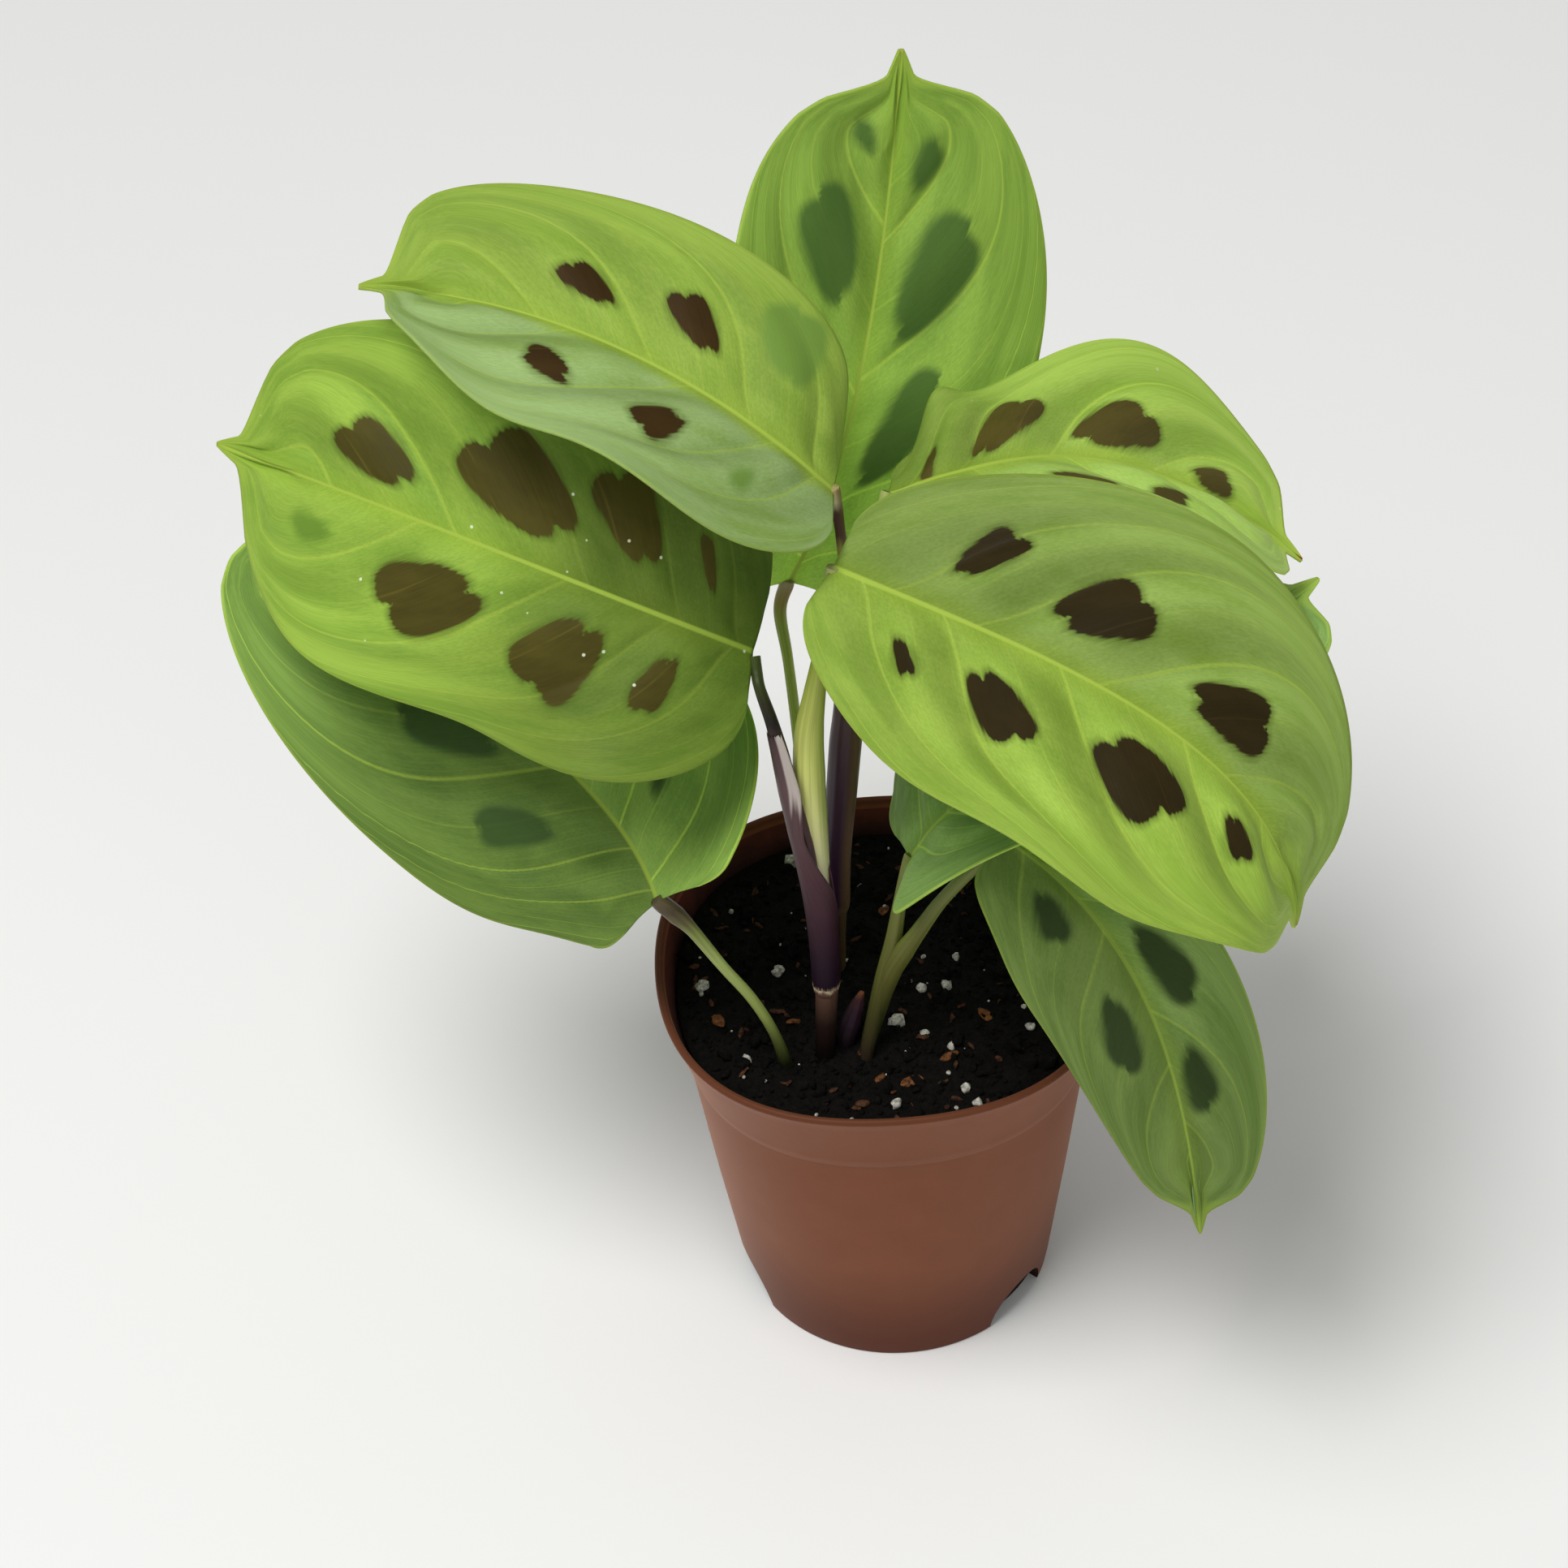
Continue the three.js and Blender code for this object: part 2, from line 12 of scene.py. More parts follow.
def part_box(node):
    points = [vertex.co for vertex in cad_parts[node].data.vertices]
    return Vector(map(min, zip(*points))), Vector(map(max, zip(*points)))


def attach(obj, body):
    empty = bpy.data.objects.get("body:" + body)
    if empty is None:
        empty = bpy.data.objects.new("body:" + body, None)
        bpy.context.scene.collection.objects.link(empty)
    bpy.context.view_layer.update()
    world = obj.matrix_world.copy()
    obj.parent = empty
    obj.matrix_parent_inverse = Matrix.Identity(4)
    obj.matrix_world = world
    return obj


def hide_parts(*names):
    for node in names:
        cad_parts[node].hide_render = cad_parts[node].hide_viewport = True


bl_info = {
    "name": "Potted Prayer Plant",
    "version": (1, 0, 0),
    "blender": (4, 5, 0),
    "location": "View3D > Sidebar > Prayer Plant",
    "description": "Builds the leaves, stems, potting mix and pot of a small prayer plant",
    "category": "Add Mesh",
}

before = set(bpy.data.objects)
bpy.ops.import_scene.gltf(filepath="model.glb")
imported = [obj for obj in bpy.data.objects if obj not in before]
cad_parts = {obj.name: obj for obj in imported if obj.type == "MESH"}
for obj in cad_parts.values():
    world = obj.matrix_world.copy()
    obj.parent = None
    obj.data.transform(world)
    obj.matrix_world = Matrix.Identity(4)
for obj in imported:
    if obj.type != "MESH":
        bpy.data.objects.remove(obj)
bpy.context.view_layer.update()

MM = 0.001

# What lengths and colours among the settings share, and the settings and inputs of a soft step
LENGTH = {"unit": "LENGTH"}
COLOUR = {"subtype": "COLOR", "size": 4, "min": 0.0, "max": 1.0}
SMOOTH = {"interpolation_type": "SMOOTHSTEP"}
STEP_INPUTS = ("Value", "From Min", "From Max", "To Min", "To Max")

# What all blades share in their outline, in the same words as their solids, with a longer point at the tip
BASE_ANGLE = 0.12
TIP_WIDTH = 0.15
TIP_LENGTH = 0.09
TIP_POWER = 0.9
TIP_SHOULDER = 0.03
LEAST_WIDTH = 0.012
BODY_END = 0.965
LOBE_ANGLE = 0.38
LOBE_SPREAD = 0.32
ROW_BEND = 1.5
WAVES = 1.6
WAVE_LAG = 1.2
WAVE_REACH = 30.0

# Cells along and across a blade, and how much finer they get towards the midrib
CELLS_ALONG = 150
CELLS_ACROSS = 96
MIDRIB_CROWDING = 1.25

# Mm of blade to one unit of its UV map, the number fields its mesh carries for its markings and for its
# painted shading and painted sheen, and how light scatters in it
UV_UNIT = 100.0
BLADE_FIELDS = ("brown_blotch", "green_blotch", "panel", "edge", "painted_shading", "painted_sheen", "along")
LEAF_FLESH = {"Subsurface Weight": 0.18, "Subsurface Radius": (0.8, 1.0, 0.25), "Subsurface Scale": 0.8 * MM}

# How full the two lobes of a blotch are: the brown ones stay apart, the green ones run together
BROWN_LOBES = 1.6
GREEN_LOBES = 5.0

# Side veins sweep forward: out towards the blade's edge each covers more of the way that is left to the tip,
# and one that starts nearer the tip covers more of it
SWEEP_MERGE = 1.15
SWEEP_START = 0.05
SWEEP_END = 0.5
SWEEP_POWER = 6

# A blade's shape follows its solid: pairs are left and right of the midrib, lengths in mm, turns in degrees.
# veins are where the main side veins leave the midrib. Each blotch is how far along the midrib and how far
# out from it it lies, left being negative, then its length, its width and how far it leans towards the tip.
# The shading pairs, for base and tip and each left and right, are painted light and shade: mostly the shade
# that the leaves above cast and how the light falls on each blade, partly the tissue's own tone. The shading
# span is where along the blade it changes. The panel shading is painted light and shade on the quilting: how
# much lighter the tissue is painted behind each side vein and darker ahead of the next. The sheen pair is how
# strongly a painted sheen, a pale bluish reflection of the white surroundings, shows left and right of the
# midrib. vein is how clearly the veins stand out. dry is how brown the very tip is, and specks how strongly
# the white scale marks show.
USUAL_LEAF = {
    "brown": [],
    "green": [],
    "blotch": "#2c2412",
    "soft_blotch": "#3a5228",
    "painted_shading_span": (0.1, 0.65),
    "vein": 1.0,
    "dry": 0.1,
    "specks": 0.0,
}
LEAVES = {
    "leaf_back": {
        "midrib": [(-13.3, 33, 148.4), (-0.5, 19.5, 183), (8, 56, 202), (12.5, 62.5, 242)],
        "face": (0.05, -0.9, 0.4),
        "roll": (-17, -18),
        "half_width": (31, 32),
        "fold_base": (11, 4),
        "fold_tip": (10, 19),
        "curl": (-8, -3),
        "full": (2.3, 2.1),
        "widest": (0.49, 0.47),
        "lobe": 0.06,
        "wave": (3, 1),
        "wave_phase": 45,
        "veins": ((8, 24, 45, 76, 95), (6, 20, 48, 73, 92)),
        "green": [(72, -11, 20, 10.5, 70), (67.5, 10, 21.5, 11, 65), (86.5, 6, 8, 5, 65),
                  (91, -6, 5.5, 3, 55), (39.5, 9.5, 24, 9, 68), (40, -10.5, 20, 9, 66)],
        "colours": ("#6f8f33", "#84a33c"),
        "soft_blotch": "#46652c",
        "painted_sheen": (0.05, 0.05),
        "painted_shading_base": (2.5, 2.2),
        "painted_shading_tip": (1.15, 1.12),
        "painted_panel_shading": 0.06,
        "dry": 0.2,
    },
    "leaf_upper_left": {
        "midrib": [(-5, -3, 197.5), (-21, -3.5, 219), (-47.5, 29, 218.5), (-83.5, 30, 223)],
        "face": (0, -0.15, 1),
        "roll": (-3, -6),
        "half_width": (28, 27),
        "fold_base": (7, 8),
        "fold_tip": (25, 33),
        "curl": (-13, -9),
        "full": (2.3, 2.6),
        "widest": (0.47, 0.49),
        "lobe": 0.01,
        "wave": (-4, -1),
        "wave_phase": -5,
        "veins": ((5, 16, 35, 58, 75), (5, 22, 43, 64, 78)),
        "brown": [(59, 8.5, 9, 5.5, 65), (40.5, 10, 11.5, 6, 55), (56, -13, 8.5, 5, 100),
                  (34, -13.5, 8, 6.5, 30)],
        "green": [(24, 17, 15, 12.5, 30), (17.5, -12.5, 4.5, 3, 15)],
        "colours": ("#82a03a", "#95b043"),
        "blotch": "#33240c",
        "soft_blotch": "#6b8c3b",
        "painted_sheen": (0.55, 0.05),
        "painted_shading_base": (0.83, 0.93),
        "painted_shading_tip": (0.92, 0.97),
        "painted_panel_shading": 0.12,
    },
    "leaf_right_back": {
        "midrib": [(4.5, 8.5, 187), (29.5, 0.5, 202), (50, 29, 183), (82, 31.5, 146.5)],
        "face": (0.1, -0.1, 1),
        "roll": (22, 12),
        "half_width": (25, 25),
        "fold_base": (4, -16),
        "fold_tip": (40, -3),
        "curl": (5, 4),
        "full": (2.2, 2.0),
        "widest": (0.51, 0.47),
        "lobe": 0.05,
        "wave": (7.5, -2.5),
        "wave_phase": -25,
        "veins": ((3, 17, 40, 66, 88), (5, 20, 43, 64, 84)),
        "brown": [(10, -4, 8.5, 4, 10), (34, -9.5, 24, 8.5, 60), (59.5, -7.5, 18, 9, 70),
                  (80, -3, 7, 4.5, 80), (40, 10, 12, 4, 62), (61.5, 10.5, 7, 3, 75)],
        "colours": ("#819f38", "#93ae41"),
        "blotch": "#48401a",
        "painted_sheen": (0.1, 0.2),
        "painted_shading_base": (0.75, 0.9),
        "painted_shading_tip": (1.38, 1.52),
        "painted_panel_shading": 0.1,
        "dry": 1.0,
        "specks": 0.4,
    },
    "leaf_front_right": {
        "midrib": [(-6, -13.5, 189.5), (29, -40.5, 189), (65.5, -56.5, 181), (68, -56.5, 139.5)],
        "face": (0.15, -0.35, 1),
        "roll": (-7, 19),
        "half_width": (35.5, 36),
        "fold_base": (17, 2),
        "fold_tip": (7, 16),
        "curl": (3, -25),
        "full": (1.8, 1.7),
        "widest": (0.5, 0.49),
        "lobe": 0.01,
        "wave": (-0.5, -3.5),
        "wave_phase": 35,
        "veins": ((10, 24, 46, 74.5, 92), (5, 18.5, 39, 64, 86)),
        "brown": [(21, -12.5, 11.5, 6, 30), (41, -12, 14.5, 11, 50), (69, -9.5, 15.5, 10, 75),
                  (17.5, 11, 7, 2.5, 40), (34.5, 13, 15, 7, 50), (60, 13, 16.5, 11.5, 66), (82, 9, 8, 4, 58)],
        "colours": ("#7f9c36", "#91ac40"),
        "blotch": "#28200a",
        "painted_sheen": (0.2, 0.05),
        "painted_shading_base": (0.72, 0.97),
        "painted_shading_tip": (0.93, 1.15),
        "painted_panel_shading": 0.17,
        "dry": 0.4,
    },
    "leaf_left": {
        "midrib": [(-20.5, -6.5, 166), (-43, -16, 188), (-79.5, 5, 193.5), (-113.5, 34, 188.5)],
        "face": (-0.1, -0.45, 1),
        "roll": (32, 40),
        "half_width": (32, 35),
        "fold_base": (19, -6),
        "fold_tip": (-8, -4),
        "curl": (2, -15),
        "full": (2.4, 2.3),
        "widest": (0.5, 0.5),
        "lobe": 0.01,
        "wave": (-5.5, 1),
        "wave_phase": 110,
        "veins": ((5, 20, 42, 71, 94), (4, 18, 38, 64, 88)),
        "brown": [(81.5, 8.5, 13.5, 7.5, 66), (55.5, 12, 21, 12.5, 62), (35, 14, 17, 9.5, 45),
                  (17.5, 11.5, 10.5, 2.5, 33), (65.5, -12, 17.5, 12.5, 64), (38.5, -13, 15.5, 13.5, 30),
                  (19.5, -11, 10.5, 6, 15)],
        "green": [(90, -8, 6.5, 4.5, 80)],
        "colours": ("#7c9d36", "#92b03f"),
        "blotch": "#453f16",
        "soft_blotch": "#688b31",
        "painted_sheen": (0.05, 0.05),
        "painted_shading_base": (0.58, 0.45),
        "painted_shading_tip": (1.08, 1.0),
        "painted_shading_span": (0.3, 0.58),
        "painted_panel_shading": 0.14,
        "specks": 1.0,
    },
    "leaf_lower_left": {
        "midrib": [(-41, -20.5, 120.5), (-47, 4, 133.5), (-83, 17.5, 147), (-108.5, 54, 162.5)],
        "face": (-0.1, -0.3, 1),
        "roll": (41, -16),
        "half_width": (33.5, 33),
        "fold_base": (0, 4),
        "fold_tip": (6, -16),
        "curl": (-12, -15),
        "full": (2.3, 2.4),
        "widest": (0.46, 0.41),
        "lobe": 0.05,
        "wave": (0, -4),
        "wave_phase": -40,
        "veins": ((3, 14, 38, 68, 90), (5, 20, 40, 64, 86)),
        "green": [(59, -9.5, 18, 7, 67), (36.5, -14.5, 15.5, 7.5, 56), (21.5, 11, 4, 3, 40),
                  (58, 11, 20, 9, 65)],
        "colours": ("#5b7634", "#6d883d"),
        "painted_sheen": (0.0, 0.0),
        "painted_shading_base": (0.98, 1.8),
        "painted_shading_tip": (1.7, 2.2),
        "painted_shading_span": (0.4, 0.9),
        "painted_panel_shading": 0.05,
        "vein": 0.9,
    },
    "leaf_lower_right": {
        "midrib": [(22, -27, 136), (44.5, -42, 126), (51, -51, 98.5), (52.5, -64.5, 70.5)],
        "face": (0.25, -0.8, 0.5),
        "roll": (12, -19),
        "half_width": (20, 20),
        "fold_base": (-26, -20),
        "fold_tip": (-8, -35),
        "curl": (-10, -12),
        "full": (2.0, 2.1),
        "widest": (0.46, 0.43),
        "lobe": 0.04,
        "wave": (1, -0.5),
        "wave_phase": -30,
        "veins": ((4, 16, 42, 64), (3, 24, 53, 70)),
        "green": [(15.5, 6, 10.5, 5, 70), (36, -7, 16, 7.5, 74), (45, 7, 15.5, 6, 80),
                  (57.5, -4.5, 10.5, 6, 83)],
        "colours": ("#607a33", "#748c3e"),
        "soft_blotch": "#28371a",
        "painted_sheen": (0.13, 0.08),
        "painted_shading_base": (1.5, 0.92),
        "painted_shading_tip": (0.9, 0.88),
        "painted_shading_span": (0.45, 0.85),
        "painted_panel_shading": 0.06,
        "vein": 0.55,
    },
    "leaf_under_right": {
        "midrib": [(5, -15, 121.5), (18.5, -15.5, 149), (50.5, 6, 136), (86, 35.5, 138.5)],
        "face": (0, -0.2, 1),
        "roll": (19, 4),
        "half_width": (27, 26.5),
        "fold_base": (6, 20),
        "fold_tip": (5, 8),
        "curl": (-7, -10),
        "full": (2.2, 2.0),
        "widest": (0.45, 0.45),
        "lobe": 0.06,
        "wave": (0, 2),
        "wave_phase": -5,
        "veins": ((4, 15, 36, 60, 80), (4, 15, 36, 60, 80)),
        "green": [(31, -9, 12, 7, 60), (55, -9, 13, 7, 66), (37, 9, 12, 7, 60), (61, 9, 11, 7, 66)],
        "colours": ("#5c7a34", "#6c8a40"),
        "painted_sheen": (0.1, 0.1),
        "painted_shading_base": (1.3, 1.55),
        "painted_shading_tip": (1.5, 1.7),
        "painted_panel_shading": 0.1,
        "vein": 0.6,
    },
}

# Cells round a stem, and between two of its points, and how thick the purple sheath is
STEM_SIDES = 28
STEM_STEPS = 10
SHEATH_THICKNESS = 0.35 * MM

# Stems as points with a radius, in mm, the same as their solids. A rooted one starts below the surface.
LOWER_FRONT_STEM = [(-12.5, -19.4, 70, 1.8), (-12.5, -19.4, 76, 1.8), (-11.9, -18.6, 86, 2),
                    (-11.5, -18, 92, 2.1), (-11.5, -18, 93, 2.45), (-11.5, -17.9, 94.4, 2.5),
                    (-11.4, -17.6, 97, 2.3)]
PURPLE_SHEATH = [(-11.5, -17.9, 94, 2.6), (-11.4, -17.2, 101.5, 2.75), (-11.6, -16.6, 111.5, 2.95),
                 (-12.4, -16.2, 121.5, 3.05), (-13.8, -15.8, 131.5, 2.95), (-15.4, -15.2, 141, 2.55),
                 (-16.8, -14.6, 149.5, 1.95), (-17.7, -14.1, 154, 1.5)]
LEFT_LEAF_PETIOLE = [(-12, -16.6, 110, 0.9), (-13.4, -15.9, 128, 1.2), (-15.8, -15, 142, 1.4),
                     (-17, -14.5, 149.5, 1.35), (-18.2, -13.8, 156, 1.15), (-19.8, -11.4, 161.5, 1),
                     (-20.2, -8.9, 163.3, 1.05), (-20.5, -7, 165.2, 1.2)]
PALE_SHEATH = [(-11, -14.6, 108, 1), (-11.4, -14.1, 116, 1.8), (-11.8, -13.8, 124, 2.3),
               (-12.1, -13.6, 133.5, 2.7), (-12.2, -13.6, 143, 2.85), (-11.7, -13.6, 153, 2.55),
               (-10.3, -14, 162.5, 1.9), (-8.6, -14.2, 173, 1.2), (-7.2, -14, 182, 1),
               (-6.3, -13.8, 188.2, 1.15), (-6, -13.6, 189.6, 1.1)]
BACK_STEM = [(-8.8, 3.5, 70, 1.5), (-8.8, 3.5, 76, 1.5), (-8.7, 0.8, 88, 1.7), (-8.5, -1.6, 97.3, 1.9),
             (-8.4, -1.9, 98.6, 2.4), (-7.9, -3.6, 113.5, 2.6), (-6.5, -4.6, 129, 2.8),
             (-5.3, -5.4, 142, 2.9), (-4.2, -5.2, 152, 2.7), (-3.8, -3.4, 163, 1.7), (-3.6, -1.6, 176, 1.1),
             (-4.2, -1.8, 188, 0.9), (-4.8, -2.9, 196.5, 1.1), (-5, -3, 198, 1.1)]
BACK_FORK = [(-4.2, -4.6, 152, 1.4), (-2.2, -1.4, 165, 1.2), (1.2, 4, 177, 1), (3.9, 7.6, 185.6, 1.1),
             (4.6, 8.6, 187.4, 1.1)]
BACK_PETIOLE = [(-12, -3, 70, 1.2), (-12, -3, 76, 1.2), (-12.8, 7, 97, 1), (-13.5, 19, 119, 1),
                (-14.4, 27, 134, 1), (-15.3, 31.6, 142.5, 1.2), (-13.8, 32.9, 147.7, 1.4),
                (-13.3, 33, 149, 1.2)]
LEFT_PETIOLE = [(-19.9, -21.8, 70, 1.3), (-19.9, -21.8, 76, 1.3), (-21.7, -22, 85.5, 1), (-25.2, -22, 95, 1),
                (-30.1, -21.6, 103.7, 1), (-35, -21.1, 113, 1.2), (-37.6, -20.8, 116.8, 1.7),
                (-40.1, -20.6, 119.9, 1.6), (-41.2, -20.4, 121, 1.3)]
RIGHT_INNER_PETIOLE = [(-4.8, -20.2, 70, 1.4), (-4.8, -20.2, 76, 1.4), (-3, -18.6, 84, 1.5),
                       (-0.9, -17.7, 93.7, 1.6), (1.3, -17, 103, 1.5), (2.9, -16.4, 112.5, 1.2),
                       (4.6, -15.3, 120.6, 1.1), (5.2, -14.9, 122.2, 1.1)]
RIGHT_OUTER_PETIOLE = [(-4.6, -19.6, 72, 1.4), (-4.6, -19.6, 77, 1.4), (-2.1, -17.8, 86, 1.7),
                       (0.7, -18.2, 96, 1.9), (3.1, -18.9, 101.8, 1.9), (5.6, -20, 107.3, 1.5),
                       (10.1, -22, 117.2, 1.2), (15.9, -24.4, 127.2, 1.1), (20.6, -26.3, 134, 1.1),
                       (22, -26.9, 136, 1.1)]
SHOOT_BUD = [(-8.6, -16.6, 70, 1.8), (-8.6, -16.6, 76, 1.8), (-7.4, -15.2, 79.5, 2), (-6, -14, 83, 1.4),
             (-4.8, -13.2, 86, 0.4)]

# Colour of each stem's skin at heights in mm. The near-black stops just above the mix, up to about 85 mm,
# are painted shade at the foot of the stems, under the leaves
FRONT_SKIN = [(74, "#0a0706"), (79, "#130c0a"), (85, "#2b1c18"), (91, "#563e31"), (93.3, "#6b4d44"),
              (93.8, "#cdbf9a"), (94.3, "#8a7460"), (94.7, "#190519"), (99, "#1d071b"), (108, "#2f1020"),
              (124, "#4a2a32"), (142, "#5b4344"), (152, "#463132"), (156, "#1a1410"), (160, "#30301a"),
              (166, "#4b5a26")]
PALE_SKIN = [(108, "#efe8d4"), (116, "#ece5c6"), (124, "#e8e3ae"), (134, "#e0e092"), (146, "#ccd273"),
             (158, "#b0b858"), (170, "#93a040"), (185, "#93a24a"), (188, "#bcbd86"), (190, "#aab06c")]
BACK_SKIN = [(74, "#0a0706"), (84, "#1a110f"), (96, "#2c1d1b"), (98.4, "#43322e"), (99.6, "#220c24"),
             (115, "#2a1028"), (130, "#371b30"), (142, "#3f2632"), (158, "#4f3d34"), (168, "#66622f"),
             (176, "#8a8f3e"), (184, "#8f8a3c"), (187, "#4a2a18"), (193, "#3c2014"), (195.5, "#b9b088"),
             (198, "#a79c66")]
FORK_SKIN = [(150, "#473529"), (160, "#5e5a2c"), (172, "#83923e"), (182, "#95a64c"), (187, "#a9b566")]
BACK_PETIOLE_SKIN = [(74, "#17140c"), (86, "#8a9a44"), (110, "#a3b352"), (134, "#a9b856"),
                     (141, "#a2ac52"), (144.5, "#9a8c48"), (147, "#a68e5c"), (149, "#b8a488")]
LEFT_PETIOLE_SKIN = [(74, "#0a0b06"), (78, "#1c210d"), (84, "#5e6831"), (91, "#909d52"), (106, "#9cab60"),
                     (113, "#7d8843"), (116, "#5e5834"), (119, "#4a3f2c"), (121, "#5c5238")]
RIGHT_PETIOLE_SKIN = [(74, "#0a0b06"), (78, "#1a1d0d"), (86, "#424a1b"), (96, "#5d6424"), (108, "#6e7832"),
                      (124, "#7f8d43"), (137, "#94a552")]
BUD_SKIN = [(74, "#0a0808"), (78, "#1c1218"), (82, "#33202e"), (85, "#4c2c32"), (86, "#8a5230")]

# What lies on the mix, in mm from the middle of the pot: perlite grains by place and radius, then bark chips
# by place, length and heading
GRAIN_SPOTS = [(-35.1, 0.8, 1.7), (1.5, -12.4, 1.7), (6.5, -15.4, 1.1), (11.2, -20, 1), (2.8, -19.9, 1.1),
               (6.8, -3.7, 1.2), (11.6, -3.7, 1.3), (-20.3, 2.9, 1.3), (-27.3, -19.1, 1.2), (14, 3.3, 0.9),
               (26.6, -16.2, 1.2), (13.1, -30.8, 1.2), (0, -33.4, 1.3), (15, -34.8, 1.1), (-16.1, 33, 1.8),
               (-3.1, 25.2, 1.1)]
BARK_SPOTS = [(-17.7, -10.5, 3.6, 0.3), (0.9, 17.5, 3.6, 1.2), (2.7, -27.5, 5.5, 0.1), (10.7, -22.1, 4, 0.4),
              (-32.3, -8.5, 5, 2), (-2.6, -27, 3, 0.9), (18.5, -12.3, 4.5, 2.4)]

# The view: how steeply the camera looks down, its roll, and where the middle of the pot's rim lies
PHOTO_WIDTH = 1932
FIELD_OF_VIEW = 24.0
LOOK_DOWN = 42.75
CAMERA_ROLL = -3.95
CAMERA_DISTANCE = 704.0
RIM_PIXEL = (1088.6, 1171.9)


def linear(hex_colour):
    """An sRGB hex colour as linear RGB with alpha."""
    channels = [int(hex_colour[i:i + 2], 16) / 255 for i in (1, 3, 5)]
    low, knee, lift, power = 12.92, 0.04045, 0.055, 2.4
    return [c / low if c <= knee else ((c + lift) / (1 + lift)) ** power for c in channels] + [1.0]


def lit(colour, factor):
    """A linear colour made lighter or darker by a factor."""
    return [factor * channel for channel in colour[:3]] + [1.0]


def feed(node, inputs):
    """Gives a node's inputs their values, or links into them a socket or the output of another node."""
    for name, value in inputs.items():
        if isinstance(value, bpy.types.Node):
            value = next(output for output in value.outputs if output.enabled)
        if isinstance(value, bpy.types.NodeSocket):
            node.id_data.links.new(value, node.inputs[name])
        else:
            node.inputs[name].default_value = value


def add_node(tree, kind, settings=None, inputs=None):
    """Adds one shader node with its settings, its input values and what is linked into it."""
    node = tree.nodes.new(kind)
    for name, value in (settings or {}).items():
        setattr(node, name, value)
    feed(node, inputs or {})
    return node


def new_material(name):
    """A new material with its node tree and its shader."""
    material = bpy.data.materials.new(name)
    material.use_nodes = True
    tree = material.node_tree
    return material, tree, tree.nodes["Principled BSDF"]


def smooth_step(low, high, value):
    """0 below low and 1 above high, with a soft change between them."""
    share = np.clip((value - low) / (high - low), 0, 1)
    return share * share * (3 - 2 * share)


class PotSettings(bpy.types.PropertyGroup):
    """Sizes and colours of the nursery pot."""

    height: FloatProperty(name="Height", description="From the foot to the lip",
                          default=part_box("pot")[1].z, **LENGTH)
    rim_radius: FloatProperty(name="Rim Radius", description="Outer radius of the lip",
                              default=45 * MM, **LENGTH)
    collar_radius: FloatProperty(name="Collar Radius", description="Outer radius where the collar starts",
                                 default=40 * MM, **LENGTH)
    foot_radius: FloatProperty(name="Foot Radius", description="Outer radius at the foot", default=31.2 * MM,
                               **LENGTH)
    collar_height: FloatProperty(name="Collar Height", description="Height of the flared collar",
                                 default=17 * MM, **LENGTH)
    wall: FloatProperty(name="Wall", description="Thickness of the moulded wall", default=1.0 * MM, **LENGTH)
    squareness: FloatProperty(name="Squareness", default=0.026, min=0.0, max=0.1,
                              description="How far the mouth is drawn out to a soft square")
    colour: FloatVectorProperty(name="Wall Colour", description="Brown of the moulded plastic",
                                default=linear("#79462d"), **COLOUR)
    lip_colour: FloatVectorProperty(name="Lip Colour", description="Darker brown of the lip",
                                    default=linear("#5c3320"), **COLOUR)


class SoilSettings(bpy.types.PropertyGroup):
    """Sizes and colours of the potting mix."""

    top: FloatProperty(name="Level", description="Height of the mix in the pot", default=76 * MM, **LENGTH)
    relief: FloatProperty(name="Relief", description="Height of the crumbled surface",
                          default=1.1 * MM, **LENGTH)
    crumbs: IntProperty(name="Crumbs", description="Fine crumbs of peat on the surface", default=1300, min=0)
    clods: IntProperty(name="Clods", description="Larger clods of peat", default=110, min=0)
    grains: IntProperty(name="Grains", description="Further perlite grains strewn by chance",
                        default=46, min=0)
    fibres: IntProperty(name="Fibres", description="Dark bits of bark and root strewn by chance",
                        default=110, min=0)
    peat: FloatVectorProperty(name="Peat", description="Moist peat", default=linear("#120e0b"), **COLOUR)
    perlite: FloatVectorProperty(name="Perlite", description="White expanded perlite",
                                 default=linear("#f2ede2"), **COLOUR)
    bark: FloatVectorProperty(name="Bark", description="Orange-brown composted bark",
                              default=linear("#8a5427"), **COLOUR)


class LeafSettings(bpy.types.PropertyGroup):
    """Sizes and colours that all leaf blades share."""

    thickness: FloatProperty(name="Thickness", description="Thickness of the blade",
                             default=0.42 * MM, **LENGTH)
    rib: FloatProperty(name="Rib", description="Thickness at the midrib, which stands out below",
                       default=1.1 * MM, **LENGTH)
    quilting: FloatProperty(name="Quilting", description="Height of the panels between the side veins",
                            default=2.4 * MM, **LENGTH)
    vein: FloatVectorProperty(name="Vein", description="Yellow-green of the midrib and side veins",
                              default=linear("#a3bb49"), **COLOUR)
    # Painted sheen: the pale bluish reflection of the white surroundings, painted onto parts of a blade
    painted_sheen: FloatVectorProperty(name="Bloom", description="Pale bluish cast on parts of a blade",
                               default=linear("#9db88a"), **COLOUR)


class StageSettings(bpy.types.PropertyGroup):
    """Light and floor."""

    floor_colour: FloatVectorProperty(name="Floor", description="Pale floor",
                                      default=linear("#f4f4f2"), **COLOUR)
    key_power: FloatProperty(name="Key", description="Power of the large light overhead", default=28.0,
                             unit="POWER")
    fill_power: FloatProperty(name="Fill", description="Power of the light beside the camera", default=1.5,
                              unit="POWER")


